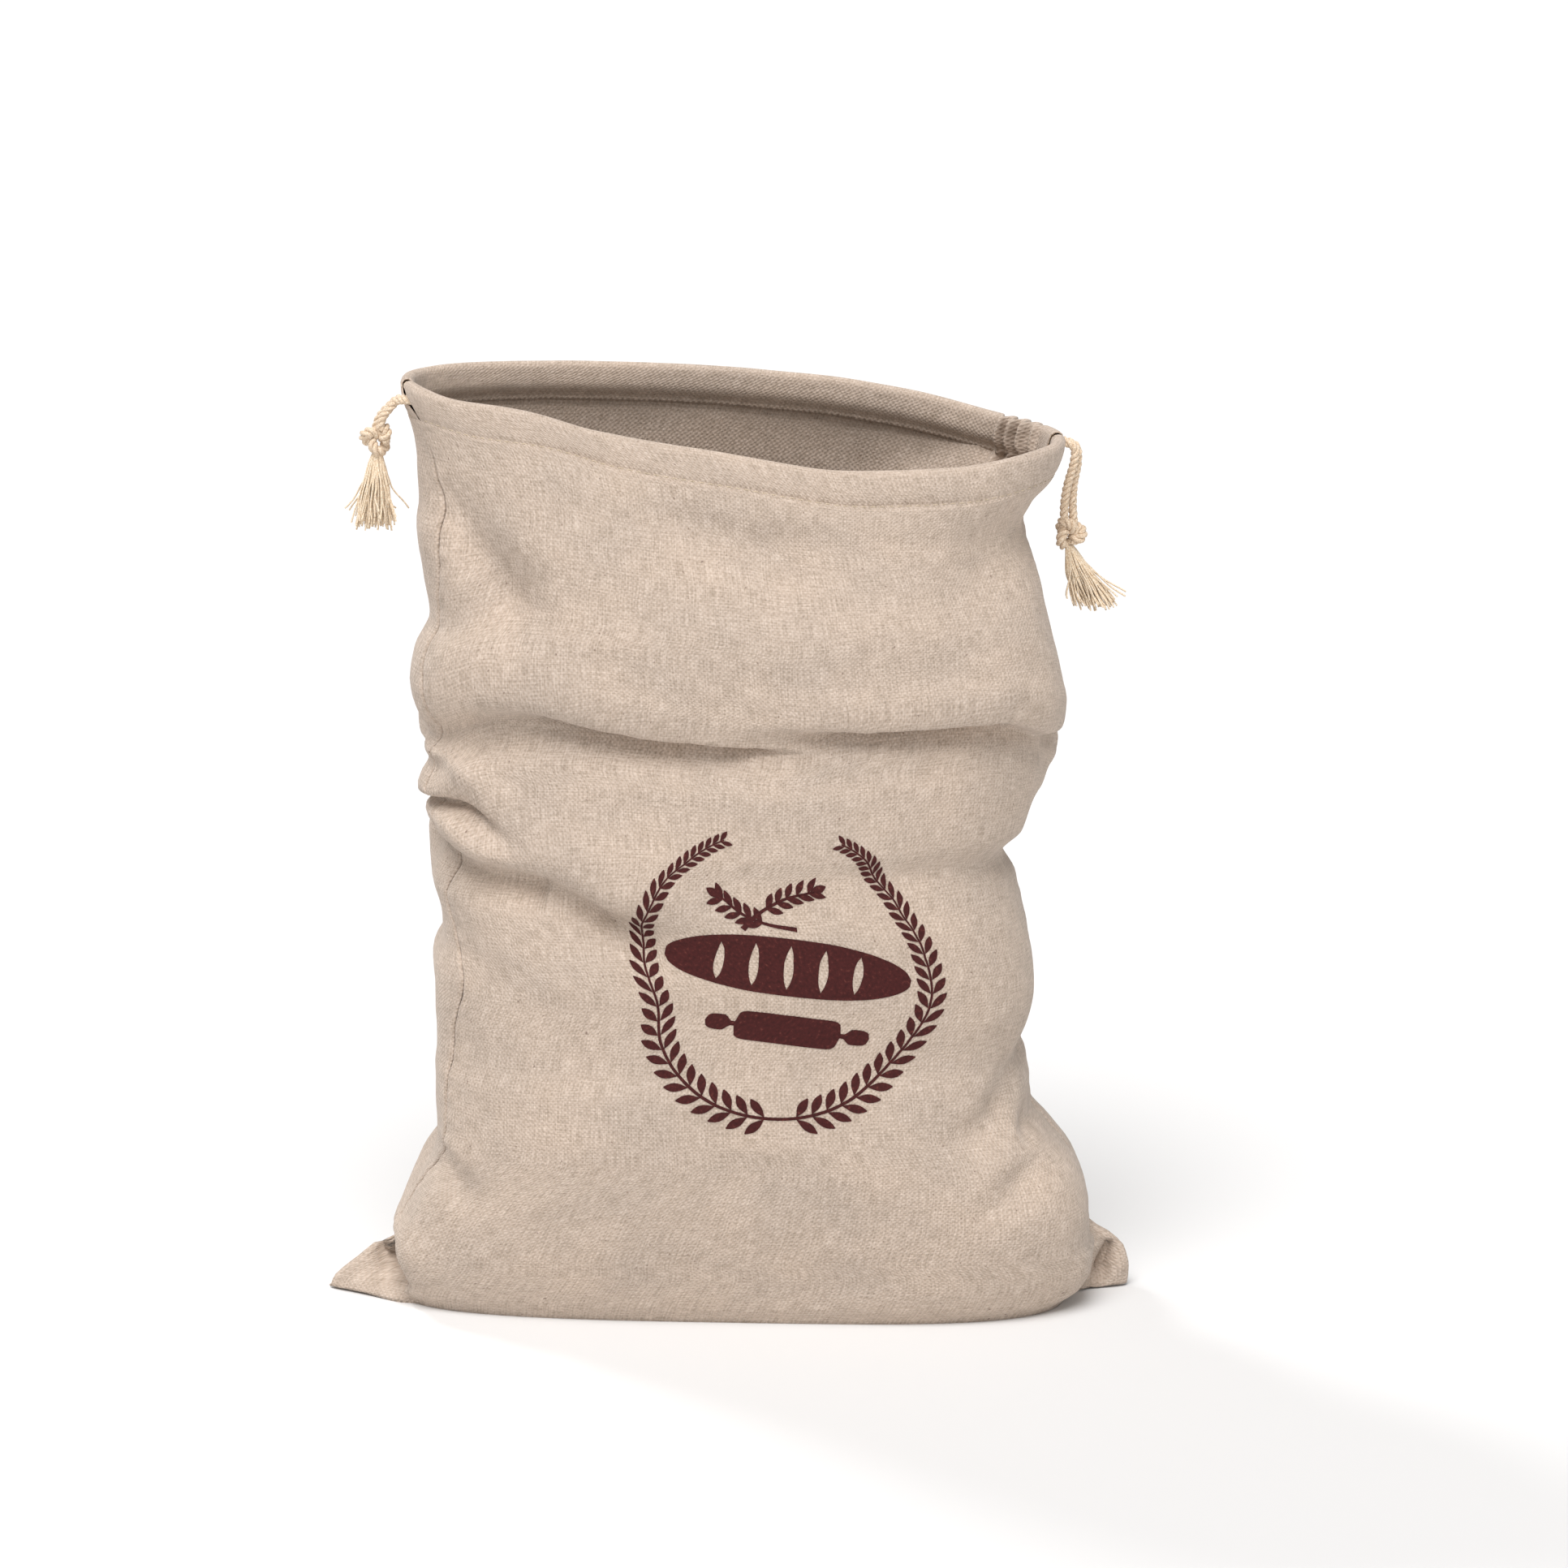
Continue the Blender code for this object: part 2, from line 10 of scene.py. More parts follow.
import bmesh
import bpy
import numpy as np
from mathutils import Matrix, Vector


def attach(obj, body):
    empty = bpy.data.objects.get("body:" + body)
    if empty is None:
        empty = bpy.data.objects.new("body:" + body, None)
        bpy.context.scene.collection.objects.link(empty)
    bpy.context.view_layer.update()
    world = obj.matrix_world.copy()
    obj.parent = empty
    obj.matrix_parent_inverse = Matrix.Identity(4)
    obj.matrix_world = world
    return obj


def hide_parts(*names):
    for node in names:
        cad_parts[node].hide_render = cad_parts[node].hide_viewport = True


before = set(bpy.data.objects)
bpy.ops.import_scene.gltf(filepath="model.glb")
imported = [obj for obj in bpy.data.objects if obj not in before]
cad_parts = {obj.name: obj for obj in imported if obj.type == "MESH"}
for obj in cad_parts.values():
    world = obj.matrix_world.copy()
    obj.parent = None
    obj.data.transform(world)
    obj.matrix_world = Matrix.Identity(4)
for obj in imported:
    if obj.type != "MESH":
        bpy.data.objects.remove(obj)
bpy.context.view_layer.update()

MM = 0.001
FRONT, BACK = -1, 1

# ---- driving sizes, in mm ----
CLOTH = 0.6  # linen, a little thicker than it is so that its edges show
CASING = 13.0  # height of the turned-in top
CASING_FALL = 0.9  # how many levels the casing's plan goes down for each mm under the rim
CHANNEL = 3.2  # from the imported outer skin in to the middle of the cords
OPENING = 7.2  # between the two casings' ends at each side
CORD = 3.5  # drawcord diameter
CORD_GAP = 0.35
FOLD_LEVEL = 212.0
UPPER_LEVEL = 300.0  # above this the rows gather evenly up to the casing's stitches
RIM_LEVEL = 350.0
HEM_LEVEL = 336.0  # the row just under the casing's stitches
ON_FRAME = np.array((0.0, 0.5, 0.0))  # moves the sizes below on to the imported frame
PLAN_STEP = 0.5

# ---- the bag's sections: at each height the plan's left and right ends, its depths to the front and
# the back, and the exponent of its rounded shape ----
SECTIONS = {
    "height": (0, 6, 22, 34, 50, 63, 74, 90, 101, 122, 134, 152, 165, 172, 179, 196),
    "left": (-124, -128, -129, -125, -119, -114, -111, -111, -110, -111, -112, -108, -111, -112, -113, -110),
    "right": (127, 132, 136, 135.5, 131, 122.5, 114.5, 113, 110.5, 114, 113, 109.5, 106.5, 102.5, 110, 115.5),
    "front": (43.5, 47, 51.5, 54.5, 57.5, 59.5, 61, 61, 60, 61, 62, 62, 61, 61, 62, 62),
    "back": (43, 48, 53, 56, 58, 59, 60, 60, 59, 60, 61, 60, 59, 58, 60, 61),
    "square": (3.3, 3.4, 3.5, 3.5, 3.4, 3.2, 3.0, 2.9, 2.8, 2.8, 2.8, 2.8, 2.8, 2.8, 2.8, 2.8),
}
UPPER_SECTIONS = {
    "height": (203, 210, 217, 229, 240, 252, 264, 280, 297, 308, 317, 330, 352),
    "left": (-115, -113.5, -116, -115.5, -116.5, -115, -110, -113, -115, -113.5, -114, -116, -121.5),
    "right": (118.5, 123, 123.5, 123.5, 122.5, 120, 117.5, 113.5, 110.5, 114.5, 120, 125, 125),
    "front": (61, 61, 62, 65, 66, 66, 65, 63, 60, 58, 57, 55, 53),
    "back": (61, 62, 63, 64, 65, 64, 63, 61, 59, 57, 56, 54, 52),
    "square": (2.8, 2.8, 2.8, 2.8, 2.7, 2.7, 2.7, 2.6, 2.6, 2.6, 2.6, 2.6, 2.6),
}
BODY = {column: SECTIONS[column] + UPPER_SECTIONS[column] for column in SECTIONS}
# The bottom corners that stick out past the body: where each ends, and half its thickness at the root.
EARS = {
    "height": (0, 4, 9, 15, 20, 27, 34),
    "left": (-154.5, -153.5, -148, -141, -135, -129, -125),
    "right": (153.3, 153.8, 153.4, 152, 147, 136.5, 135.5),
    "puff": (3.0, 4.4, 5.4, 5.0, 4.0, 2.6, 1.6),
    "front_left": (20, 15, 8.5, 5.5, 4.0, 2.6, 1.6),
    "front_right": (10, 8, 6.5, 5.5, 4.0, 2.6, 1.6),
}
# How far back each side seam lies; less than 0 is towards the front.
SEAMS = {
    "height": (0, 20, 34, 50, 66, 90, 112, 131, 148, 160, 174, 196, 212, 232, 262, 290, 330, 341, 352),
    "left": (0, -4, -8, -17, -29, -30, -33, -39, -32, -29, -33, -25, -24, -29, -27, -32, -27, -23, -12),
    "right": (3, 4, 5, 6, 7, 7.5, 8, 8, 8, 8, 8, 8, 8, 8, 7, 6.5, 4, 3, 2),
}
# The rim's height along each panel, by share of the width, and how far the rows bend up at the waist.
RIM = {
    "share": (0.0, 0.1, 0.2, 0.3, 0.44, 0.64, 0.75, 0.9, 1.0),
    "front": (352, 348.5, 346, 339, 332.5, 324.5, 324.5, 328.5, 329.5),
    "back": (352, 351.5, 351, 350, 348.5, 344, 339, 331, 329.5),
}
WAIST = {
    "share": (0.0, 0.12, 0.25, 0.42, 0.5, 0.62, 0.75, 0.88, 1.0),
    "rise": (0, 14, 17, 13, 10, 15, 17, 13, 2),
}
WAIST_FADE = 160.0  # below this the rows are level

# ---- folds: a line on the panel's face (x, z), and at even stations along it the depth (a ridge is
# less than 0), the reach above and below, and how far the cloth above sags over it ----
Fold = namedtuple("Fold", "name panel line depth above below sag", defaults=((0,),))
FOLDS = (
    Fold(
        "waist from the left", FRONT,
        ((-126, 211), (-102, 227), (-73, 236), (-46, 232.5), (1, 226), (36, 220.5)),
        depth=(4, 8, 10, 9, 7, 0), above=(6, 7, 4, 2.0, 1.6, 1.6), below=(9, 14, 13, 10, 9, 8),
        sag=(1, 3, 5, 6, 4, 0),
    ),
    Fold(
        "waist from the right", FRONT,
        ((132, 214), (108, 229), (90, 233.5), (53, 232.5), (28, 230.5), (-8, 226.5)),
        depth=(6, 9, 10, 8, 4, 0), above=(3, 2.6, 2, 2, 2.5, 4), below=(10, 14, 12, 8, 6, 6),
        sag=(3, 5, 7, 5.5, 2, 0),
    ),
    Fold(
        "ledge under the left waist", FRONT, ((-126, 213), (-104, 215), (-84, 203), (-72, 194)),
        depth=(-2.6, -3.6, 0.0), above=(4.0, 4.5, 5.0), below=(3.5, 4, 5),
    ),
    Fold(
        "left hip", FRONT, ((-122, 196), (-99, 199.5), (-86, 191), (-74, 182)),
        depth=(6.0, 6.5, 0.0), above=(2.0, 2.6, 5.0), below=(4, 5, 7), sag=(3.0, 3.5, 0.0),
    ),
    Fold(
        "left hip roll", FRONT, ((-124, 194), (-106, 194), (-88, 183), (-70, 178)),
        depth=(-3.0, -4.0, 0.0), above=(4.0, 4.5, 6.0), below=(4, 4.5, 6),
    ),
    Fold(
        "long hip, first part", FRONT, ((-122, 188), (-104, 178.5), (-90, 174.5), (-66, 172)),
        depth=(7.0, 9.0, 3.0), above=(4.0, 5.5, 4.0), below=(9, 10, 8), sag=(2.0, 2.5, 1.0),
    ),
    Fold(
        "long hip, second part", FRONT, ((-80, 176), (-60, 170), (-40, 159.5), (-14, 148)),
        depth=(3.0, 10.5, 0.0), above=(4.0, 4.5, 8.0), below=(8, 13, 12), sag=(1.0, 4.0, 0.0),
    ),
    Fold(
        "swell over the long hip", FRONT, ((-70, 184), (-46, 176), (-20, 166), (10, 156)),
        depth=(-1.5, -3.0, 0.0), above=(12, 14, 14), below=(8, 9, 10),
    ),
    Fold(
        "left flank", FRONT, ((-118, 140), (-100, 140), (-80, 133), (-62, 116)),
        depth=(2.0, 2.6, 0.0), above=(7, 8, 12), below=(9, 12, 14),
    ),
    Fold(
        "right knee", FRONT, ((116, 101), (107, 93), (99, 80), (78, 66)),
        depth=(4.0, 5.5, 0.0), above=(6, 7, 9), below=(8, 8, 9),
    ),
    Fold(
        "right pinch", FRONT, ((113, 82), (112, 74), (114, 65)),
        depth=(1.0, 4.2, 0.0), above=(3.0, 3.5, 5), below=(3.0, 3.5, 5),
    ),
    Fold(
        "right foot", FRONT, ((126, 68), (114, 59), (104, 51), (91, 40)),
        depth=(0.6, 4.6, 0.0), above=(6, 7, 9), below=(8, 9, 10), sag=(1.0, 1.0, 0),
    ),
    Fold(
        "left foot", FRONT, ((-114, 66), (-103, 55), (-94, 41)),
        depth=(1.0, 4.0, 0.0), above=(5, 6, 8), below=(7, 8, 9), sag=(1.0, 1.0, 0),
    ),
    Fold(
        "left ear", FRONT, ((-132, 24), (-129, 15), (-123, 5)),
        depth=(9.0, 13.0, 3.0), above=(2.6, 2.8, 3), below=(2.6, 2.8, 3),
    ),
    Fold(
        "right ear", FRONT, ((139, 1), (142, 9), (146, 19)),
        depth=(9.0, 14.0, 9.0), above=(2.8, 2.9, 2.8), below=(2.8, 2.9, 2.8),
    ),
    Fold(
        "left heel", FRONT, ((-131, 8), (-129, 22), (-122, 40), (-114, 58), (-106, 68)),
        depth=(0.4, 0.8, 2.2, 4.0, 0.0), above=(2.0, 2.2, 4), below=(3.5, 4, 6),
    ),
    Fold(
        "left shoulder", FRONT, ((-106, 318), (-98, 302), (-87, 283), (-68, 259)),
        depth=(0.0, 7.0, 11.0, 0.0), above=(10, 14, 18), below=(5, 8, 14),
    ),
    Fold(
        "soft middle", FRONT, ((-30, 318), (-4, 300), (26, 284), (44, 262)),
        depth=(1.5, 6.0, 0.0), above=(12, 14, 18), below=(10, 14, 18),
    ),
    Fold(
        "right shoulder", FRONT, ((116, 300), (96, 288), (76, 262)),
        depth=(3.0, 4.5, 0.0), above=(12, 13, 16), below=(9, 14, 18),
    ),
    Fold(
        "back waist from the left", BACK, ((-120, 211), (-70, 222), (-10, 214)),
        depth=(6.0, 9.0, 0.0), above=(3.5, 3.0, 6), below=(12, 14, 12), sag=(2.0, 5.0, 0.0),
    ),
    Fold(
        "back waist from the right", BACK, ((122, 190), (60, 196), (0, 184)),
        depth=(6.0, 9.0, 0.0), above=(4, 3.5, 6), below=(12, 13, 12), sag=(2.0, 5.0, 0.0),
    ),
    Fold(
        "back shoulder", BACK, ((96, 312), (70, 290), (30, 262)),
        depth=(3.0, 4.5, 0.0), above=(12, 13, 16), below=(12, 14, 18),
    ),
    Fold(
        "back hip", BACK, ((-122, 150), (-86, 140), (-40, 118)),
        depth=(3.0, 5.0, 0.0), above=(6, 8, 12), below=(9, 12, 14), sag=(0, 1.0, 0),
    ),
    Fold(
        "back knee", BACK, ((-124, 66), (-95, 62), (-66, 48)),
        depth=(3.0, 5.0, 0.0), above=(6, 8, 9), below=(8, 9, 9),
    ),
)
# Pleats gathered into the back near the right seam: share of the width, and depth.
PLEATS = {"share": (0.884, 0.904, 0.925, 0.947), "deep": (4.4, 6.0, 5.4, 3.0)}
PLEAT_HALF = 0.0085  # half a pleat's share of the width
PLEAT_FADE = 75.0  # how far under the rim the pleats die away

# ---- free ends: the two strands' middle (x, z) from the casing to the knot, how many degrees they
# twist on the way, and the places of the knot and of the tassel's foot ----
LEFT_EXIT = ((-121.0, 344.4), (-123.8, 342.0), (-126.4, 339.2), (-128.0, 336.4), (-128.6, 333.4))
LEFT_TURN = 25.0
LEFT_KNOT = (-129.0, -12.0, 330.0)
LEFT_TASSEL_FOOT = (-130.5, -12.5, 297.0)
RIGHT_EXIT = (
    (125.4, 326.1), (128.3, 323.8), (128.2, 318.0), (126.6, 311.0),
    (125.8, 304.0), (125.9, 298.0), (126.2, 294.6),
)
RIGHT_TURN = 75.0
RIGHT_KNOT = (126.3, 2.0, 292.0)
RIGHT_TASSEL_FOOT = (134.5, 2.5, 264.0)

# ---- mesh density ----
COLUMNS = 160  # across the front, between its seams
BACK_COLUMNS = 112
UNDER_ROWS = 12
ROW_STEP = {FRONT: 1.9, BACK: 2.6}
FINE_BAND, FINE_STEP = (204.0, 226.0), 0.85  # at the waist fold, where the front doubles over
NEAR_BAND, NEAR_STEP = (176.0, 232.0), 1.4  # a little above and below it
PANEL_WIDTH = 300.0  # a panel's nominal width, which turns a share of it into a distance
BACK_WEAVE_SHIFT = 417.3  # so that the back's weave doesn't repeat the front's
BACK_SLACK_SHIFT = 400.0  # the same for its unevenness

# ---- print ----
PRINT_CENTRE = (22.5, 138.0)  # x and height of the wreath's middle
WREATH_RADIUS = 52.0
WREATH_TALL = 1.07  # how much taller than wide the wreath is
INK_PROUD = 0.2


# ==== numbers ====
def smooth_between(x, xs, ys):
    """A smooth curve through the table's points that never overshoots them."""
    xs, ys = np.asarray(xs, float), np.asarray(ys, float)
    step = np.diff(xs)
    slope = np.diff(ys) / step
    tangent = np.zeros(len(xs))
    for i in range(1, len(xs) - 1):
        if slope[i - 1] * slope[i] > 0:
            tangent[i] = 2 * slope[i - 1] * slope[i] / (slope[i - 1] + slope[i])
    x = np.clip(x, xs[0], xs[-1])
    i = np.clip(np.searchsorted(xs, x, side="right") - 1, 0, len(step) - 1)
    t = (x - xs[i]) / step[i]
    rise = ys[i] * (1 + 2 * t) * (1 - t) ** 2 + ys[i + 1] * t * t * (3 - 2 * t)
    lean = step[i] * (tangent[i] * t * (1 - t) ** 2 + tangent[i + 1] * t * t * (t - 1))
    return rise + lean


def ease(x, start, end):
    """0 before start, 1 after end, and smooth between."""
    t = np.clip((np.asarray(x, float) - start) / (end - start), 0, 1)
    return t * t * (3 - 2 * t)


def unevenness(u, v, cell, seed):
    """A smooth random field, about -1 to 1, whose lumps are as wide as the cell."""
    rng = np.random.default_rng(seed)
    grid = rng.uniform(-1, 1, (64, 64))
    x, y = np.mod(np.asarray(u) / cell, 63), np.mod(np.asarray(v) / cell, 63)
    i, j = x.astype(int), y.astype(int)
    s, t = x - i, y - j
    s, t = s * s * (3 - 2 * s), t * t * (3 - 2 * t)
    low = grid[i, j] * (1 - s) + grid[i + 1, j] * s
    high = grid[i, j + 1] * (1 - s) + grid[i + 1, j + 1] * s
    return low * (1 - t) + high * t


def along(points):
    steps = np.linalg.norm(np.diff(points, axis=0), axis=1)
    return np.concatenate([[0.0], np.cumsum(steps)])


def resample(points, distances):
    reach = along(points)
    return np.stack([np.interp(distances, reach, points[:, k]) for k in range(points.shape[1])], axis=1)


def directions(line):
    """The unit direction at each point of a run."""
    tangent = np.gradient(line, axis=0)
    return tangent / np.linalg.norm(tangent, axis=1)[:, None]


def soften(points, spread):
    """A closed run of evenly spaced points, rounded over a distance."""
    half = int(3 * spread / PLAN_STEP)
    weights = np.exp(-0.5 * (np.arange(-half, half + 1) * PLAN_STEP / spread) ** 2)
    weights /= weights.sum()
    wrapped = np.concatenate([points[-half:], points, points[:half]])
    return np.stack([np.convolve(wrapped[:, k], weights, "valid") for k in range(2)], axis=1)


def through(points, spacing):
    """A smooth curve through a few places, with points at an even spacing."""
    points = np.asarray(points, float)
    padded = np.concatenate([[2 * points[0] - points[1]], points, [2 * points[-1] - points[-2]]])
    fine = []
    for i in range(len(points) - 1):
        a, b, c, d = padded[i : i + 4]
        t = np.linspace(0, 1, 24, endpoint=False)[:, None]
        fine.append(
            0.5 * (2 * b + (c - a) * t + (2 * a - 5 * b + 4 * c - d) * t**2 + (3 * b - a - 3 * c + d) * t**3)
        )
    fine = np.concatenate(fine + [points[-1:]])
    reach = along(fine)
    count = max(2, int(round(reach[-1] / spacing)) + 1)
    return resample(fine, np.linspace(0, reach[-1], count))


# ==== the bag's plan at one level ====
def at_height(table, column, height):
    return float(smooth_between(height, table["height"], table[column]))


def body_plan(height_left, height_right):
    """The rounded plan, from the left point through the front, the right point and the back."""
    left, right = at_height(BODY, "left", height_left), at_height(BODY, "right", height_right)
    middle = (height_left + height_right) / 2
    square = at_height(BODY, "square", middle)
    angle = np.linspace(0, 2 * np.pi, 721)
    cosine, sine = -np.cos(angle), -np.sin(angle)
    across = np.sign(cosine) * np.abs(cosine) ** (2 / square)
    deep = np.sign(sine) * np.abs(sine) ** (2 / square)
    x = (left + right) / 2 + across * (right - left) / 2
    depth = np.where(deep < 0, at_height(BODY, "front", middle), at_height(BODY, "back", middle))
    lean = 0.16 * np.interp(middle, (0, 90), (1, 0))
    plan = np.stack([x, deep * depth * (1 + lean * across * (deep < 0))], axis=1)
    length = along(plan)[-1]
    return resample(plan, np.linspace(0, length, int(length / PLAN_STEP) + 1)[:-1])


def ear_spur(seam_point, tip_x, puff, front_puff, side):
    """The bottom corner at one side: out along one face to the tip, and back along the other."""
    reach = abs(tip_x - seam_point[0])
    share = np.array([0.0, 0.3, 0.6, 0.85, 1.0])
    x = seam_point[0] + (tip_x - seam_point[0]) * share
    half = puff * np.sqrt(1 - share**2) * min(1.0, reach / 4)
    wide = (front_puff - puff) * (1 - share) ** 1.2 * min(1.0, reach / 4)
    front = np.stack([x, seam_point[1] - half - wide], axis=1)
    back = np.stack([x, seam_point[1] + half], axis=1)
    first, second = (back, front) if side == "left" else (front, back)
    return np.concatenate([first, second[::-1][1:]])


def cut_at(points, x_sign, y_seam):
    side = x_sign * (points[:, 0] - points[:, 0].mean()) > 0
    return int(np.argmin(np.where(side, np.abs(points[:, 1] - y_seam), 1e9)))


def level_runs(height_left, height_right):
    """The front run and the back run at a level, each from the left seam to the right seam."""
    plan = body_plan(height_left, height_right)
    seam_left, seam_right = at_height(SEAMS, "left", height_left), at_height(SEAMS, "right", height_right)
    at_left, at_right = cut_at(plan, -1, seam_left), cut_at(plan, 1, seam_right)
    plan = np.roll(plan, -at_left, axis=0)
    at_right = (at_right - at_left) % len(plan)
    plan[0, 1], plan[at_right, 1] = seam_left, seam_right
    front, back = plan[:at_right], plan[at_right:]
    spurs = []
    for side, height, point in (("left", height_left, plan[0]), ("right", height_right, plan[at_right])):
        if height >= EARS["height"][-1]:
            spurs.append(point[None, :])
            continue
        tip, puff = at_height(EARS, side, height), at_height(EARS, "puff", height)
        front_puff = at_height(EARS, "front_" + side, height)
        spurs.append(ear_spur(point, tip, puff, front_puff, side))
        front = front[np.linalg.norm(front - point, axis=1) > max(3.5, front_puff)]
        back = back[np.linalg.norm(back - point, axis=1) > 3.5]
    half_left, half_right = len(spurs[0]) // 2, len(spurs[1]) // 2
    ring = np.concatenate([spurs[0][half_left:], front, spurs[1], back, spurs[0][: half_left + 1]])
    turn = len(spurs[0]) - half_left + len(front) + half_right
    reach = along(ring)
    count = int(reach[-1] / PLAN_STEP)
    even = resample(ring, np.linspace(0, reach[-1], count + 1)[:-1])
    turn_at = int(round(reach[turn] / reach[-1] * count))
    even = soften(even, 2.0)
    return {FRONT: even[: turn_at + 1], BACK: np.concatenate([even[turn_at:], even[:1]])[::-1]}


def outwards(run, side):
    """The level normals along a run that goes from left to right, pointing out of the bag."""
    tangent = directions(run)
    return np.stack([tangent[:, 1], -tangent[:, 0]], axis=1) * -side


# ==== rows of the cloth ====
def rim_height(side, shares):
    return smooth_between(np.asarray(shares), RIM["share"], RIM["front" if side == FRONT else "back"])


def row_heights(side, shares, level):
    """The real height of each point of a row, which bends with the waist and leans with the rim."""
    rise = smooth_between(shares, WAIST["share"], WAIST["rise"]) if side == FRONT else np.zeros(len(shares))
    if level <= FOLD_LEVEL:
        return level + rise * np.clip((level - WAIST_FADE) / (FOLD_LEVEL - WAIST_FADE), 0, 1)
    folded = FOLD_LEVEL + rise
    rim = rim_height(side, shares)
    plain = folded + (level - FOLD_LEVEL) / (RIM_LEVEL - FOLD_LEVEL) * (rim - folded)
    if level <= UPPER_LEVEL:
        return plain
    start = folded + (UPPER_LEVEL - FOLD_LEVEL) / (RIM_LEVEL - FOLD_LEVEL) * (rim - folded)
    return start + (level - UPPER_LEVEL) / (HEM_LEVEL - UPPER_LEVEL) * (rim - CASING - 0.8 - start)


def plan_level(side, level):
    ends = row_heights(side, np.array([0.0, 1.0]), min(level, UPPER_LEVEL))
    if level > UPPER_LEVEL:
        rim = rim_height(side, np.array([0.0, 1.0]))
        ends = FOLD_LEVEL + (level - FOLD_LEVEL) / (RIM_LEVEL - FOLD_LEVEL) * (rim - FOLD_LEVEL)
    return level_runs(float(ends[0]), float(ends[1]))[side]


def placed_row(side, shares, level, trim):
    """A row's points on its plan between its trimmed ends, their outward normals, and the plan's length."""
    run = plan_level(side, level)
    length = along(run)[-1]
    placed = resample(run, trim + (length - 2 * trim) * shares)
    return placed, outwards(placed, side), length


def seam_trim(level):
    """Half the gap between the panels at the side, which opens into the slit at the casing."""
    return 0.06 + (OPENING / 2 - 0.06) * ease(level, 336, 345)


def wall_row(side, shares, level):
    placed, normal, length = placed_row(side, shares, level, seam_trim(level))
    near = np.minimum(shares, 1 - shares) * length
    sewn = 1 - float(ease(level, 318, 330))
    roll = 0.9 * np.clip(1 - near / 1.9, 0, 1) ** 2 * sewn
    rolled = placed - normal * roll[:, None]
    height = row_heights(side, shares, level)
    if side == BACK and level > 240:
        below_rim = rim_height(side, shares).mean() - height.mean()
        rolled = rolled - normal * pleat_depth(shares, below_rim)[:, None]
    return np.column_stack([rolled, height]), normal


def casing_profile():
    """The casing's cross-section from the stitches outside, over the rim and down inside: how far in
    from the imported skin, and how far under the rim."""
    outer = [(1.0, 13.0), (0.75, 12.2), (0.45, 11.0), (0.35, 9.5)]
    outer += [(0.3, 8.0), (0.35, 6.5), (0.4, 5.0), (0.55, 3.9)]
    half, top = 2.65, 2.6
    bend = []
    for step in np.linspace(0.08, 0.92, 8):
        angle = math.pi * step
        bend.append((CHANNEL - half * math.cos(angle), 3.0 - (top + 0.2) * math.sin(angle)))
    inner = [(5.85, 4.2), (5.95, 6.0), (5.95, 8.0), (5.5, 9.8)]
    inner += [(4.0, 11.6), (2.7, 12.8), (2.35, 13.8), (2.3, 14.8)]
    return outer + bend + inner


def pleat_depth(shares, down):
    """How far the gathered right end of the back stands in towards the inside, at a depth under the rim."""
    total = np.zeros(len(shares))
    for k, (centre, deep) in enumerate(zip(PLEATS["share"], PLEATS["deep"])):
        centre = centre + (0.00012 * (k - 1.5) + 0.00008) * down
        bump = np.clip(1 - np.abs(shares - centre) / (PLEAT_HALF * (1 + down / 90)), 0, 1)
        total += deep * bump * bump * (3 - 2 * bump)
    return total * np.clip(1 - down / PLEAT_FADE, 0, 1) ** 1.5


def casing_rows(side, shares):
    """The rows of the turned-in casing, from the stitches outside to the hem inside."""
    rim = rim_height(side, shares)
    wave = 0.35 * unevenness(shares * PANEL_WIDTH, np.full(len(shares), 40.0 + side), 16, 5)
    rows = []
    for inward, down in casing_profile():
        level = RIM_LEVEL - down * CASING_FALL
        placed, normal, _ = placed_row(side, shares, level, seam_trim(level))
        lean = (CHANNEL - inward) / 2.75
        push = -pleat_depth(shares, down) if side == BACK else 0.0
        placed = placed + normal * (push - inward + wave * max(0.0, lean))[:, None]
        rows.append(np.column_stack([placed, rim - down + 0.6 * wave]))
    return rows


def wall_levels(side):
    """Levels of the rows from the floor to the hem line, closest together at the waist."""
    levels, level = [], 0.0
    while level < HEM_LEVEL - 0.5:
        levels.append(level)
        if side == FRONT and FINE_BAND[0] < level < FINE_BAND[1]:
            level += FINE_STEP
        elif NEAR_BAND[0] < level < NEAR_BAND[1]:
            level += NEAR_STEP
        else:
            level += ROW_STEP[side]
    return np.array(levels + [HEM_LEVEL])


def column_shares(side):
    beside = np.array([0, 0.5, 1.0, 1.5, 2.1, 2.8, 3.6, 4.6]) / PANEL_WIDTH
    if side == FRONT:
        return np.concatenate([beside, np.linspace(0.02, 0.98, COLUMNS), 1 - beside[::-1]])
    plain, gathered = np.linspace(0.02, 0.868, BACK_COLUMNS), np.linspace(0.871, 0.965, 46)
    return np.concatenate([beside, plain, gathered, [0.972, 0.98], 1 - beside[::-1]])


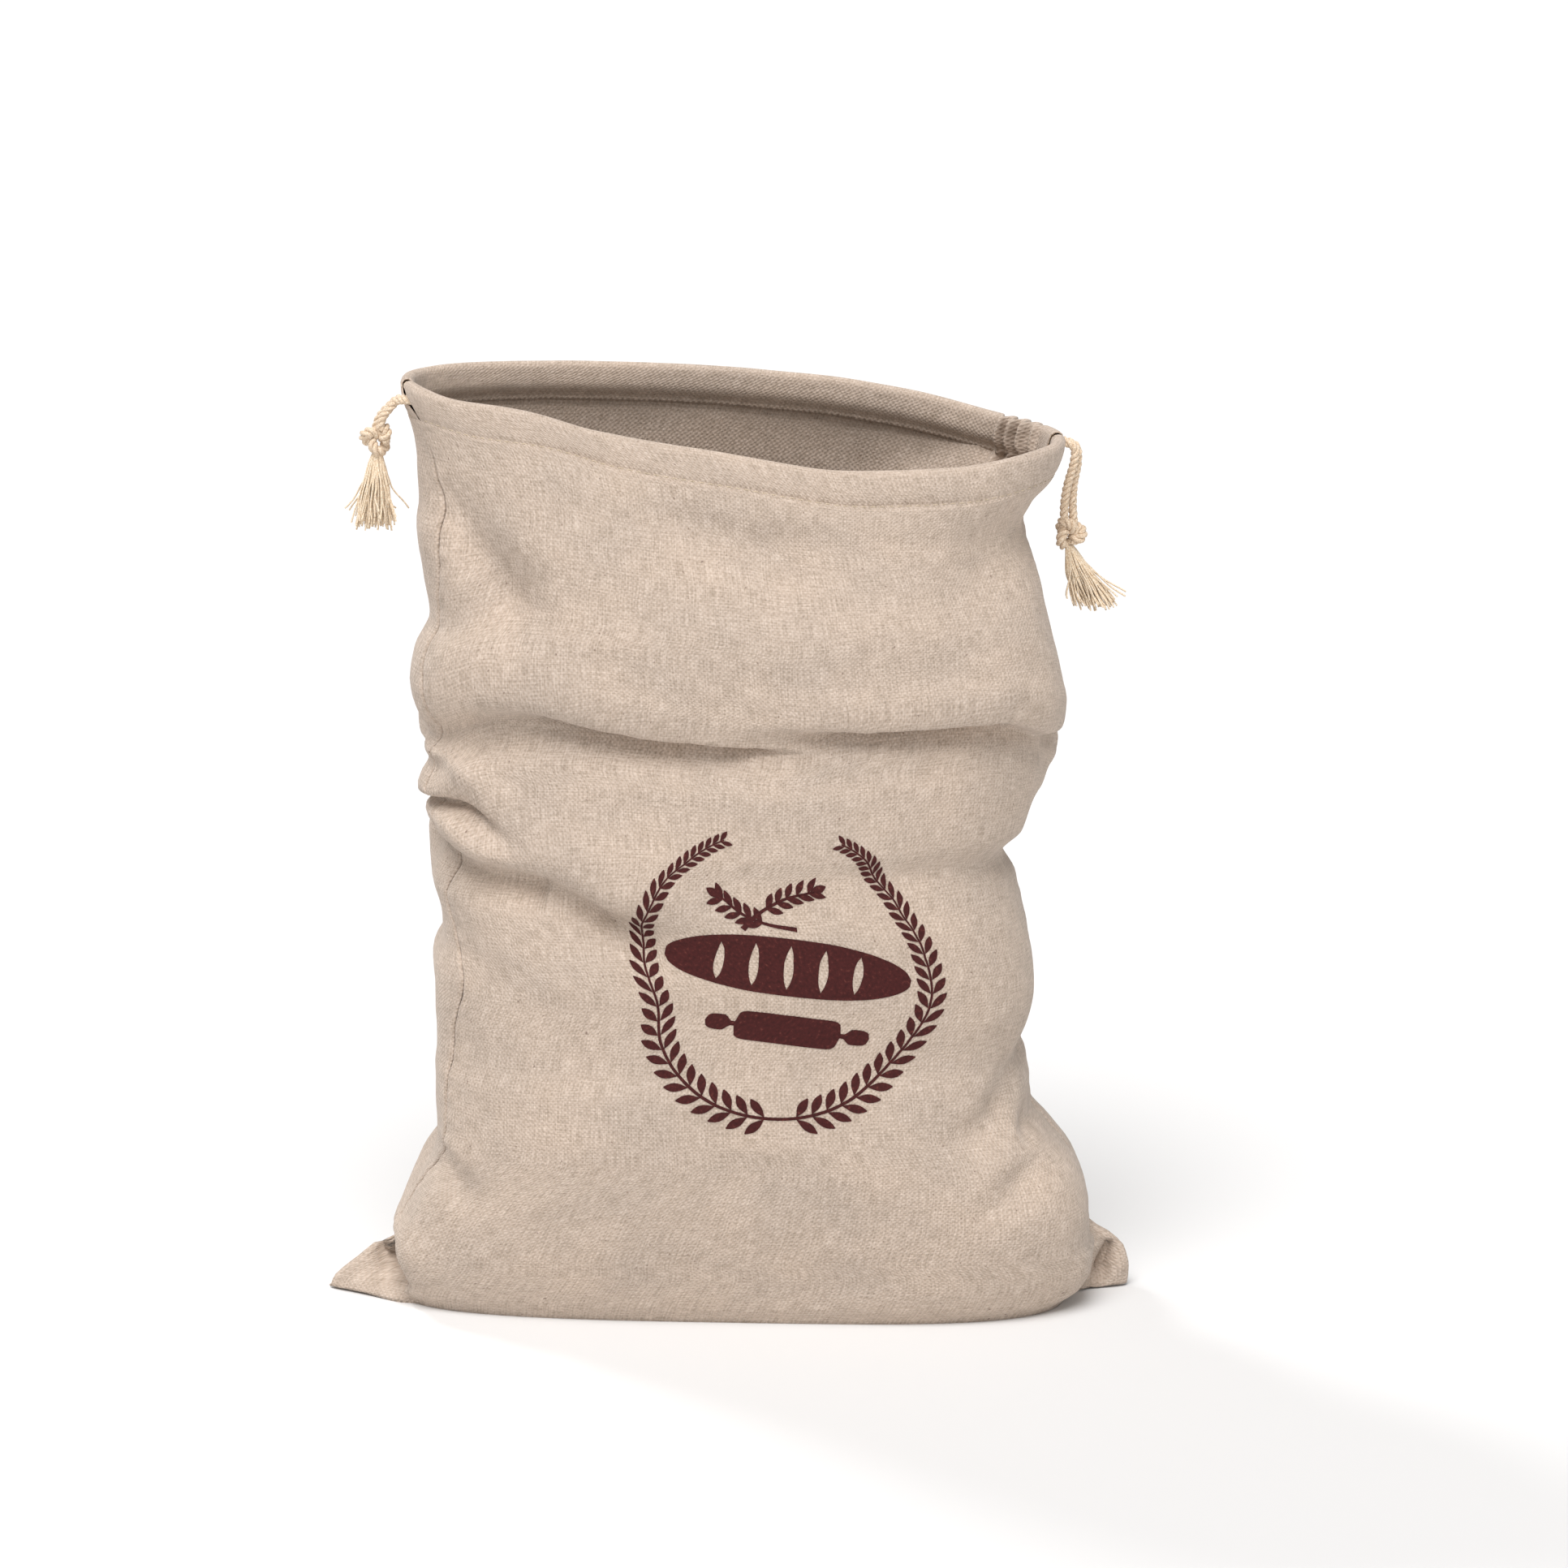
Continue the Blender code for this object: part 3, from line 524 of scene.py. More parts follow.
# ==== folds ====
def fold_pull(fold, x, z):
    """How far a fold draws the cloth in at each point, how far the cloth over it swells and sags."""
    line = through(fold.line, 2.0)
    share = along(line) / along(line)[-1]
    tangent = directions(line)
    if line[-1, 0] < line[0, 0]:
        tangent = -tangent
    best = np.full(x.shape, 1e9)
    index = np.zeros(x.shape, int)
    for k, (px, pz) in enumerate(line):
        away = (x - px) ** 2 + (z - pz) ** 2
        nearer = away < best
        best[nearer] = away[nearer]
        index[nearer] = k
    dx, dz = x - line[index, 0], z - line[index, 1]
    over = tangent[index, 0] * dz - tangent[index, 1] * dx
    past = np.abs(tangent[index, 0] * dx + tangent[index, 1] * dz)
    at = share[index]
    sizes = (fold.depth, fold.above, fold.below, fold.sag)
    depth, above, below, sag = (np.interp(at, np.linspace(0, 1, len(size)), size) for size in sizes)
    end = np.exp(-((past / 6.0) ** 2)) * np.where(index == len(line) - 1, ease(1 - at, -0.02, 0.06), 1)
    reach = np.where(over > 0, above, below)
    pull = depth * np.exp(-((over / reach) ** 2)) * end
    lip = above * 1.25 + 1.0
    swell = 0.22 * depth * np.exp(-(((over - lip * 2.2) / (lip * 1.5)) ** 2)) * end
    droop = sag * np.exp(-(((over - lip) / (lip * 1.1)) ** 2)) * end
    return pull - swell, droop


def panel_cloth(side):
    """The outer skin of a panel as a grid of points, row by row from the bottom seam to the hem, with
    the distance across and along the cloth at each."""
    shares, levels = column_shares(side), wall_levels(side)
    foot, _ = wall_row(side, shares, 0.0)
    seam_y = np.interp(foot[:, 0], (-150, 150), (SEAMS["left"][0], SEAMS["right"][0]))
    rows = []
    for share in np.linspace(0, 1, UNDER_ROWS, endpoint=False):
        row = foot.copy()
        edge = seam_y + side * 0.12
        row[:, 1] = edge + (foot[:, 1] - edge) * share
        row[:, 2] = 0.9 * np.clip(1 - share * 6, 0, 1) ** 2
        rows.append(row)
    walls = [wall_row(side, shares, level) for level in levels]
    rows += [row for row, _ in walls]
    normal = np.array([row_normal for _, row_normal in walls])
    wall = slice(UNDER_ROWS, UNDER_ROWS + len(levels))
    rows += casing_rows(side, shares)
    cloth = np.array(rows)
    fold_rows(cloth, wall, normal, levels)
    wrinkle(cloth, side, shares, levels, wall)
    tips = ease(np.abs(cloth[:, :, 0]), 126, 140)
    cloth[:, :, 2] = np.maximum(cloth[:, :, 2], 1.0 * tips)
    cloth += ON_FRAME
    reach = shares * PANEL_WIDTH + (0 if side == FRONT else BACK_WEAVE_SHIFT)
    across = np.repeat(reach[None, :], len(cloth), axis=0)
    steps = np.linalg.norm(np.diff(cloth, axis=0), axis=2).mean(axis=1)
    down = np.repeat(np.concatenate([[0.0], np.cumsum(steps)])[:, None], len(shares), axis=1)
    return cloth, across, down


def surface_normals(cloth, side):
    du = np.gradient(cloth, axis=1)
    dv = np.gradient(cloth, axis=0)
    normal = np.cross(du, dv) if side == FRONT else np.cross(dv, du)
    length = np.linalg.norm(normal, axis=2, keepdims=True)
    return normal / np.maximum(length, 1e-9)


def fold_rows(cloth, wall, normal, levels):
    """Draws the folds into the wall of a panel. A fold runs on over the side seam, so each panel takes
    both panels' folds, by how far round to the front or the back a point is."""
    face = cloth[wall]
    x, y, z = (face[:, :, k].copy() for k in range(3))
    rise = ease(levels, -3, 9)[:, None]
    for fold in FOLDS:
        share = ease(y * fold.panel, -14, 8)
        if share.max() == 0:
            continue
        pull, droop = fold_pull(fold, x, z)
        face[:, :, :2] -= normal * (pull * share * rise)[:, :, None]
        face[:, :, 2] -= droop * share * rise


def wrinkle(cloth, side, shares, levels, wall):
    """Small unevenness: slack in the cloth, which dies away towards the bottom, and a puckered seam."""
    face = cloth[wall]
    normal = surface_normals(cloth, side)[wall]
    u = np.repeat((shares * PANEL_WIDTH)[None, :], len(levels), axis=0)
    u = u + (BACK_SLACK_SHIFT if side == BACK else 0)
    v = np.repeat(levels[:, None], len(shares), axis=1)
    slack = 1.0 * unevenness(u, v, 34, 11) + 0.45 * unevenness(u + 0.4 * v, v, 15, 12)
    slack += 0.16 * unevenness(u, v, 6, 13)
    near = np.minimum(shares, 1 - shares)[None, :] * PANEL_WIDTH
    slack = slack * np.clip(near / 8, 0, 1) * (1 - 0.8 * ease(levels, 318, 336))[:, None]
    pucker = 0.28 * np.sin(v * 2 * np.pi / 8.5 + 3 * unevenness(u * 0, v, 30, 14))
    pucker = pucker * np.exp(-(((near - 3.5) / 3.0) ** 2))
    slack = slack * ease(levels, 0, 14)[:, None]
    face += normal * (slack + pucker)[:, :, None]


# ==== meshes ====
def object_from(mesh_data, name, material, smooth=True):
    made = bpy.data.objects.new(name, mesh_data)
    bpy.context.scene.collection.objects.link(made)
    mesh_data.materials.clear()
    mesh_data.materials.append(material)
    for polygon in mesh_data.polygons:
        polygon.use_smooth = smooth
    return made


def mesh_from(bm, name):
    mesh = bpy.data.meshes.new(name)
    bm.to_mesh(mesh)
    bm.free()
    return mesh


def sheet_mesh(name, cloth, across, down, side):
    """A grid laid on the cloth's points, with its own distances as its UV map."""
    rows, columns = cloth.shape[:2]
    bm = bmesh.new()
    bmesh.ops.create_grid(bm, x_segments=columns - 1, y_segments=rows - 1, size=1.0)
    uv = bm.loops.layers.uv.new("cloth")
    places = {}
    for vertex in bm.verts:
        j = int(round((vertex.co.x + 1) / 2 * (columns - 1)))
        i = int(round((vertex.co.y + 1) / 2 * (rows - 1)))
        places[vertex.index] = (i, j)
    for vertex in bm.verts:
        i, j = places[vertex.index]
        vertex.co = Vector(cloth[i, j] * MM)
    for face in bm.faces:
        for loop in face.loops:
            i, j = places[loop.vert.index]
            loop[uv].uv = (across[i, j] * MM, down[i, j] * MM)
    if side == BACK:
        bmesh.ops.reverse_faces(bm, faces=bm.faces)
    return mesh_from(bm, name)


def make_panel(name, side, material):
    """A panel as a thin sheet, with the grid that the stitches and the print are laid on."""
    cloth, across, down = panel_cloth(side)
    made = object_from(sheet_mesh(name, cloth, across, down, side), name, material)
    thick = made.modifiers.new("thickness", "SOLIDIFY")
    thick.thickness = CLOTH * MM
    thick.offset = -1
    return made, cloth, across, down


# ==== materials ====
def linear(hex_code):
    """An sRGB hex colour as linear RGBA."""
    values = [int(hex_code[i : i + 2], 16) / 255 for i in (1, 3, 5)]
    return tuple(v / 12.92 if v <= 0.04045 else ((v + 0.055) / 1.055) ** 2.4 for v in values) + (1.0,)


def add(tree, kind, settings=None, links=None):
    """Adds a node, sets its properties or sockets, and links its sockets."""
    node = tree.nodes.new(kind)
    for key, value in (settings or {}).items():
        if isinstance(key, str) and hasattr(node, key) and key not in node.inputs:
            setattr(node, key, value)
        else:
            node.inputs[key].default_value = value
    for key, source in (links or {}).items():
        tree.links.new(source, node.inputs[key])
    return node


def new_material(name):
    made = bpy.data.materials.new(name)
    made.use_nodes = True
    return made, made.node_tree, made.node_tree.nodes["Principled BSDF"]


def ramp(tree, factor, stops):
    node = add(tree, "ShaderNodeValToRGB", links={"Fac": factor})
    elements = node.color_ramp.elements
    while len(elements) < len(stops):
        elements.new(0.5)
    for element, (place, colour) in zip(elements, stops):
        element.position = place
        element.color = linear(colour)
    return node


def maths(tree, operation, first, second=None, settings=None):
    """One step of arithmetic on one or two node outputs, with any constants as settings."""
    links = {0: first} if second is None else {0: first, 1: second}
    return add(tree, "ShaderNodeMath", {"operation": operation, **(settings or {})}, links).outputs[0]


def mixed(tree, blend, share, first, second):
    """Two colours mixed, of which the second may be a fixed one."""
    node = add(tree, "ShaderNodeMixRGB", {"blend_type": blend}, {"Color1": first})
    for socket, value in (("Fac", share), ("Color2", second)):
        if isinstance(value, bpy.types.NodeSocket):
            tree.links.new(value, node.inputs[socket])
        else:
            node.inputs[socket].default_value = value
    return node.outputs[0]


def weave_height(tree, uv, thread_mm):
    """The over and under of a plain weave, uneven as hand-spun flax, as one height from 0 to 1."""
    wander = add(tree, "ShaderNodeTexNoise", {"Scale": 420.0, "Detail": 3.0}, {"Vector": uv})
    shifted = mixed(tree, "LINEAR_LIGHT", 0.0007, uv, wander.outputs["Color"])
    parts = add(tree, "ShaderNodeSeparateXYZ", links={"Vector": shifted})
    turn = math.pi / (thread_mm * MM)
    waves = []
    for axis in ("X", "Y"):
        scaled = maths(tree, "MULTIPLY", parts.outputs[axis], settings={1: turn})
        waves.append(maths(tree, "SINE", scaled))
    crossed = maths(tree, "MULTIPLY", waves[0], waves[1])
    return maths(tree, "MULTIPLY_ADD", crossed, settings={1: 0.5, 2: 0.5})


def slubs(tree, uv, along_mm, across_mm, turned):
    """Long thin streaks where a yarn is thicker or darker."""
    scale = (1 / (across_mm * MM), 1 / (along_mm * MM), 1.0)
    if turned:
        scale = (scale[1], scale[0], 1.0)
    mapped = add(tree, "ShaderNodeMapping", {"Scale": scale}, {"Vector": uv})
    settings = {"Scale": 1.0, "Detail": 3.0, "Roughness": 0.62}
    return add(tree, "ShaderNodeTexNoise", settings, {"Vector": mapped.outputs[0]}).outputs["Fac"]


def set_surface(tree, shader, colour, height, bump, values):
    """Joins a material's colour and its bump (strength, depth in metres), and sets its other values."""
    tree.links.new(colour, shader.inputs["Base Color"])
    settings = {"Strength": bump[0], "Distance": bump[1]}
    raised = add(tree, "ShaderNodeBump", settings, {"Height": height})
    tree.links.new(raised.outputs[0], shader.inputs["Normal"])
    for name, value in values.items():
        shader.inputs[name].default_value = value


def linen_material(name, base, dark, light):
    """Unbleached linen, plain woven from uneven flax yarn: matte, mottled, with fine slubs and
    grey-brown flecks, and painted shade in the low places of the weave. Real threads are 0.7 mm apart, and
    are drawn at 1 mm so that they show."""
    made, tree, shader = new_material(name)
    uv = add(tree, "ShaderNodeUVMap", {"uv_map": "cloth"}).outputs[0]
    weave = weave_height(tree, uv, 1.0)
    warp, weft = slubs(tree, uv, 9, 0.62, False), slubs(tree, uv, 7, 0.58, True)
    yarn = maths(tree, "MULTIPLY", maths(tree, "ADD", warp, weft), settings={1: 0.5})
    tone = ramp(tree, yarn, ((0.36, dark), (0.5, base), (0.64, light)))
    patch = add(tree, "ShaderNodeTexNoise", {"Scale": 26.0, "Detail": 4.0}, {"Vector": uv})
    patch_tone = ramp(tree, patch.outputs["Fac"], ((0.35, "#E2DDD8"), (0.65, "#FFF6EC")))
    mottled = mixed(tree, "MULTIPLY", 0.35, tone.outputs[0], patch_tone.outputs[0])
    fleck = add(tree, "ShaderNodeTexNoise", {"Scale": 620.0, "Detail": 1.0}, {"Vector": uv})
    fleck_share = ramp(tree, fleck.outputs["Fac"], ((0.70, "#000000"), (0.80, "#FFFFFF")))
    flecked = mixed(tree, "MIX", fleck_share.outputs[0], mottled, linear("#8E7C70"))
    # Painted shade: the colour is made darker where the weave's height is low, between the crossing threads,
    # so woven carries painted shade as well as the cloth's own colour.
    painted_weave_shade = ramp(tree, weave, ((0.0, "#D8CCBE"), (0.7, "#FFFFFF")))
    woven = mixed(tree, "MULTIPLY", 0.38, flecked, painted_weave_shade.outputs[0])
    raised = maths(tree, "ADD", maths(tree, "MULTIPLY", yarn, settings={1: 0.8}), weave)
    matte = {"Roughness": 0.9, "Specular IOR Level": 0.25, "Sheen Weight": 0.12, "Sheen Roughness": 0.5}
    set_surface(tree, shader, woven, raised, (0.5, 0.0004), matte)
    return made


def ink_material():
    """Screen-printed textile ink, dark maroon and matte: it sinks into the yarn, so the weave still
    stands out in it, with a few spots worn lighter."""
    made, tree, shader = new_material("textile_ink")
    uv = add(tree, "ShaderNodeUVMap", {"uv_map": "cloth"}).outputs[0]
    weave = weave_height(tree, uv, 1.15)
    wear = add(tree, "ShaderNodeTexNoise", {"Scale": 700.0, "Detail": 2.0}, {"Vector": uv})
    tone = ramp(tree, wear.outputs["Fac"], ((0.3, "#360E0D"), (0.62, "#451615"), (0.76, "#62322A")))
    matte = {"Roughness": 0.82, "Specular IOR Level": 0.3}
    set_surface(tree, shader, tone.outputs[0], weave, (0.3, 0.0003), matte)
    return made


def cotton_material(name, dark, base, light, fibre_mm):
    """Unbleached cotton: soft, matte, with fine fibres that catch the light."""
    made, tree, shader = new_material(name)
    place = add(tree, "ShaderNodeTexCoord").outputs["Object"]
    scale = 1 / (fibre_mm * MM)
    noise = add(tree, "ShaderNodeTexNoise", {"Scale": scale, "Detail": 4.0}, {"Vector": place})
    fibres = noise.outputs["Fac"]
    tone = ramp(tree, fibres, ((0.3, dark), (0.5, base), (0.7, light)))
    matte = {"Roughness": 0.85, "Specular IOR Level": 0.25, "Sheen Weight": 0.2}
    set_surface(tree, shader, tone.outputs[0], fibres, (0.5, 0.0003), matte)
    return made


def paper_white(name, colour):
    """Matte white board: plain, pale and almost without gloss."""
    made, _, shader = new_material(name)
    shader.inputs["Base Color"].default_value = linear(colour)
    shader.inputs["Roughness"].default_value = 0.9
    return made


# ==== cords ====
def tube_mesh(paths, radius, sides):
    """Round tubes along several runs of points, as one mesh."""
    curve = bpy.data.curves.new("tube", "CURVE")
    curve.dimensions = "3D"
    for path in paths:
        spline = curve.splines.new("POLY")
        spline.points.add(len(path) - 1)
        flat = np.column_stack([np.asarray(path) * MM, np.ones(len(path))])
        spline.points.foreach_set("co", flat.ravel())
        spline.use_smooth = True
    curve.bevel_depth = radius * MM
    curve.bevel_resolution = sides
    curve.use_fill_caps = True
    helper = bpy.data.objects.new("tube", curve)
    bpy.context.scene.collection.objects.link(helper)
    bpy.context.view_layer.update()
    mesh = bpy.data.meshes.new_from_object(helper.evaluated_get(bpy.context.evaluated_depsgraph_get()))
    bpy.data.objects.remove(helper, do_unlink=True)
    bpy.data.curves.remove(curve)
    return mesh


def frames_along(path):
    """Two directions square to the path at each point, that turn as little as they can."""
    tangent = directions(path)
    first = np.cross(tangent[0], (0.3, 0.9, 0.2))
    first /= np.linalg.norm(first)
    normals = [first]
    for t in tangent[1:]:
        n = normals[-1] - t * np.dot(normals[-1], t)
        normals.append(n / np.linalg.norm(n))
    normals = np.array(normals)
    return normals, np.cross(tangent, normals)


def rope_strands(path, diameter, lay, strands=3):
    """The strands of a laid rope that follows the path."""
    reach = along(path)
    n, b = frames_along(path)
    strand = diameter / 2.22
    offset = diameter / 2 - strand / 2
    runs = []
    for k in range(strands):
        angle = 2 * np.pi * (reach / lay + k / strands)
        runs.append(path + offset * (np.cos(angle)[:, None] * n + np.sin(angle)[:, None] * b))
    return runs, strand / 2


def channel_run(side, shares, down):
    """A cord's middle inside one panel's casing."""
    placed, normal, _ = placed_row(side, shares, RIM_LEVEL - down * CASING_FALL, OPENING / 2 + 1.9)
    return np.column_stack([placed - normal * CHANNEL, rim_height(side, shares) - down])


def tail(left, run, side):
    """One strand of a free end, from the casing's mouth to the knot."""
    places, knot, twist = (LEFT_EXIT, LEFT_KNOT, LEFT_TURN) if left else (RIGHT_EXIT, RIGHT_KNOT, RIGHT_TURN)
    beside = (CORD + CORD_GAP + 0.1) / 2
    heading = run[0] - run[1]
    points = [run[0] + heading / np.linalg.norm(heading) * 2.4]
    for step, (x, z) in enumerate(places):
        turn = math.radians(twist) * step / (len(places) - 1)
        outward = -1.0 if left else 1.0
        aside, forward = side * math.sin(turn) * beside, side * math.cos(turn) * beside
        points.append((x + outward * aside, knot[1] + forward, z))
    return np.array(points)


def cord_path(left):
    """A drawcord's middle: from its knot, through both casings and back to the knot."""
    shares = np.linspace(0, 1, 34)
    down = CHANNEL + (CORD + CORD_GAP if left else 0.0)
    front, back = channel_run(FRONT, shares, down), channel_run(BACK, shares, down)
    if not left:
        front, back = front[::-1], back[::-1]
    first, last = tail(left, front, FRONT), tail(left, back, BACK)
    return np.concatenate([first[::-1], front, back[::-1], last]) + ON_FRAME


def make_drawcord(name, left, material):
    path = through(cord_path(left), 0.9)
    runs, radius = rope_strands(path, CORD, 7.0)
    made = object_from(tube_mesh(runs, radius, 2), name, material)
    return made, path


def make_knot(name, centre, tilt, material):
    """An overhand knot pulled tight, tied in the two ends laid together."""
    t = np.linspace(0.25, 2 * math.pi - 0.25, 90)
    size, deep = 1.6, 1.75
    loop_x, loop_z = np.sin(t) + 2 * np.sin(2 * t), np.cos(t) - 2 * np.cos(2 * t)
    loop = np.stack([loop_x * size, -np.sin(3 * t) * deep, loop_z * size], axis=1)
    turn = math.radians(tilt)
    rotated = loop.copy()
    rotated[:, 0] = loop[:, 0] * math.cos(turn) - loop[:, 2] * math.sin(turn)
    rotated[:, 2] = loop[:, 0] * math.sin(turn) + loop[:, 2] * math.cos(turn)
    rotated[:, 2] *= 1.04
    path = through(rotated + np.array(centre) + ON_FRAME, 0.6)
    runs, radius = rope_strands(path, 4.1, 7.5)
    return object_from(tube_mesh(runs, radius, 2), name, material)


def make_tassel(name, knot, foot, lean, seed, material):
    """The frayed ends: loose yarns that leave the knot together and spread, with a few strays."""
    rng = np.random.default_rng(seed)
    top = np.array(knot) + ON_FRAME - (0, 0, 4.6)
    axis = np.array(foot) + ON_FRAME - top
    t = np.linspace(0, 1, 12)[:, None]
    runs = []
    for k in range(120):
        stray = k % 8 == 0
        around = rng.uniform(0, 2 * math.pi)
        spread = math.sqrt(rng.uniform(0.02, 1)) * (8.0 if not stray else 14.0)
        out = np.array((math.cos(around), 0.75 * math.sin(around), 0.0))
        length = rng.uniform(0.88, 1.03)
        wave = rng.uniform(-1, 1, (3, 3)) * (1.0 if not stray else 1.9)
        short, flare = (0.86, 1.6) if stray else (1, 0.85)
        path = top + axis * t * length * short + out * (1.2 + (spread - 1.2) * t**flare)
        path = path + wave[0] * np.sin(t * 5 + around) * t + wave[1] * np.sin(t * 11 + 2 * around) * t * 0.5
        if lean:
            path[:, 0] += lean * (t[:, 0] ** 2) * 2.0
        runs.append(path)
    return object_from(tube_mesh(runs, 0.33, 0), name, material)


# ==== print ====
class PrintedCloth:
    """Takes a place on the front's face, in mm from the print's middle, to a place just over the cloth."""

    def __init__(self, cloth, across, down):
        self.cloth, self.across, self.down = cloth, across, down
        self.normal = surface_normals(cloth, FRONT)
        columns = np.arange(cloth.shape[1])
        row = int(np.argmin(np.abs(cloth[:, len(columns) // 2, 2] - PRINT_CENTRE[1])))
        self.row_reach = along(cloth[row])
        middle = float(np.interp(PRINT_CENTRE[0], cloth[row, :, 0], columns))
        self.column_reach = along(cloth[:, int(round(middle))])
        self.start_across = float(np.interp(middle, columns, self.row_reach))
        self.start_up = float(self.column_reach[row])

    def blend(self, grid, i, j):
        i0 = np.clip(np.floor(i).astype(int), 0, grid.shape[0] - 2)
        j0 = np.clip(np.floor(j).astype(int), 0, grid.shape[1] - 2)
        s, t = (i - i0), (j - j0)
        if grid.ndim == 3:
            s, t = s[:, None], t[:, None]
        low = grid[i0, j0] * (1 - t) + grid[i0, j0 + 1] * t
        high = grid[i0 + 1, j0] * (1 - t) + grid[i0 + 1, j0 + 1] * t
        return low * (1 - s) + high * s

    def places(self, x, y):
        """Places and cloth distances for points x to the right and y up."""
        j = np.interp(self.start_across + np.asarray(x), self.row_reach, np.arange(len(self.row_reach)))
        i = np.interp(self.start_up + np.asarray(y), self.column_reach, np.arange(len(self.column_reach)))
        place = self.blend(self.cloth, i, j) + self.blend(self.normal, i, j) * INK_PROUD
        return place, self.blend(self.across, i, j), self.blend(self.down, i, j)


def ink_patch(bm, uv, printed, shape, n_along, n_across):
    """One inked shape: a grid whose (s, t), each from 0 to 1, is placed by shape(s, t) in mm."""
    made = bmesh.ops.create_grid(bm, x_segments=n_along, y_segments=n_across, size=0.5)["verts"]
    s = np.array([vertex.co.x + 0.5 for vertex in made])
    t = np.array([vertex.co.y + 0.5 for vertex in made])
    x, y = shape(s, t)
    place, across, down = printed.places(x, y)
    where = {}
    for k, vertex in enumerate(made):
        vertex.co = Vector(place[k] * MM)
        where[vertex] = (across[k] * MM, down[k] * MM)
    for face in {face for vertex in made for face in vertex.link_faces}:
        for loop in face.loops:
            loop[uv].uv = where[loop.vert]


def leaf_shape(x0, y0, heading, length, width):
    """A pointed leaf from its foot, widest a little past the middle."""
    c, s = math.cos(heading), math.sin(heading)

    def shape(u, v):
        half = width / 2 * np.sin(np.pi * np.clip(u, 0.02, 0.98) ** 1.15) ** 0.8
        a, b = u * length, (v - 0.5) * 2 * half
        return x0 + a * c - b * s, y0 + a * s + b * c

    return shape


def stroke_shape(points, widths):
    """A brushed line through a few places, with its width at each."""
    line = through(points, 0.8)
    share = along(line) / along(line)[-1]
    tangent = directions(line)
    width = np.interp(share, np.linspace(0, 1, len(widths)), widths)

    def shape(u, v):
        x, y = np.interp(u, share, line[:, 0]), np.interp(u, share, line[:, 1])
        tx, ty = np.interp(u, share, tangent[:, 0]), np.interp(u, share, tangent[:, 1])
        across = (v - 0.5) * np.interp(u, share, width)
        return x - ty * across, y + tx * across

    return shape


def wreath_place(side, degrees):
    turn = math.radians(degrees)
    x, y = side * WREATH_RADIUS * math.sin(turn), -WREATH_RADIUS * WREATH_TALL * math.cos(turn)
    return x, y, math.atan2(WREATH_TALL * math.sin(turn), side * math.cos(turn))


def wreath_patches():
    """Two leafy sprigs that rise from the bottom and leave the top open."""
    patches = []
    pairs = 30
    sizes = 1 - 0.5 * ease(np.linspace(0, 1, pairs), 0.2, 1.0)
    places = np.concatenate([[0], np.cumsum(sizes[1:])]) / sizes[1:].sum()
    for side, end in ((-1, 160), (1, 155)):
        for share, size in zip(places, sizes):
            x, y, forward = wreath_place(side, 6.5 + (end - 9) * share)
            for out in (1, -1):
                heading = forward - side * out * math.radians((44 if out > 0 else 50) - 16 * share)
                px = x + side * out * 0.6 * size * math.sin(forward)
                py = y - side * out * 0.6 * size * math.cos(forward)
                length = (8.8 if out > 0 else 8.2) * size
                patches.append((leaf_shape(px, py, heading, length, 3.3 * size), 7, 2))
        arc = [wreath_place(side, a)[:2] for a in np.linspace(0, end - 1, 40)]
        patches.append((stroke_shape(arc, (1.2, 1.15, 0.95, 0.7, 0.5)), 130, 1))
    return patches


def loaf_patches(x0, y0, half_length, half_height, tilt):
    """A long loaf with slashes across its crust, left unprinted."""
    cuts, gap, slant = (-0.56, -0.28, 0.0, 0.28, 0.56), 3.4, 0.09
    bounds = [-1.0] + list(cuts) + [1.0]
    patches = []
    for k in range(len(bounds) - 1):

        def shape(u, v, low=bounds[k], high=bounds[k + 1], first=k == 0, last=k == len(bounds) - 2):
            s = 2 * v - 1
            open_by = gap / half_length / 2 * np.clip(1 - (s / 0.72) ** 2, 0, 1) ** 0.7
            left = low + (0 if first else 1) * (slant * s + open_by)
            right = high + (0 if last else 1) * (slant * s - open_by)
            x = left + (right - left) * u
            profile = np.clip(1 - np.abs(x) ** 2.4, 0, 1) ** 0.5
            y = s * half_height * profile * np.where(s > 0, 1.0, 0.86)
            return x0 + x * half_length, y0 + y + tilt * x * half_length

        patches.append((shape, 20, 26))
    return patches


def ear_patches(x0, y0, heading, length, grains):
    """An ear of wheat from the foot of its stalk: a bent stalk, paired grains and a top grain."""
    c, s = math.cos(heading), math.sin(heading)

    def at(share, aside=0.0):
        bow = 0.1 * length * math.sin(math.pi * share) + aside
        return x0 + share * length * c - bow * s, y0 + share * length * s + bow * c

    patches = [(stroke_shape([at(share) for share in (0, 0.3, 0.6, 0.9)], (1.9, 1.3, 1.0, 0.8)), 30, 1)]
    for k in range(grains):
        gx, gy = at(0.36 + 0.5 * k / (grains - 1))
        for out in (1, -1):
            patches.append((leaf_shape(gx, gy, heading + out * math.radians(40), 6.4, 2.5), 7, 3))
    gx, gy = at(0.88)
    patches.append((leaf_shape(gx, gy, heading - 0.1, 6.5, 3.0), 7, 3))
    return patches


def rolling_pin_patches(x0, y0, tilt):
    """A rolling pin: a straight barrel and two turned handles."""

    def barrel(u, v):
        x = (u - 0.5) * 41
        half = 5.8 * np.clip(1 - np.abs(2 * u - 1) ** 14, 0, 1) ** 0.5
        return x0 + x, y0 + (v - 0.5) * 2 * half + tilt * x

    def handle(side):
        def shape(u, v):
            x = side * (20 + 11.5 * u)
            half = 0.9 + 2.2 * ease(u, 0.12, 0.4)
            half = half * np.clip(1 - u**8, 0, 1) ** 0.5
            return x0 + x, y0 + (v - 0.5) * 2 * half * side + tilt * x

        return shape

    return [(barrel, 30, 6), (handle(1), 14, 4), (handle(-1), 14, 4)]


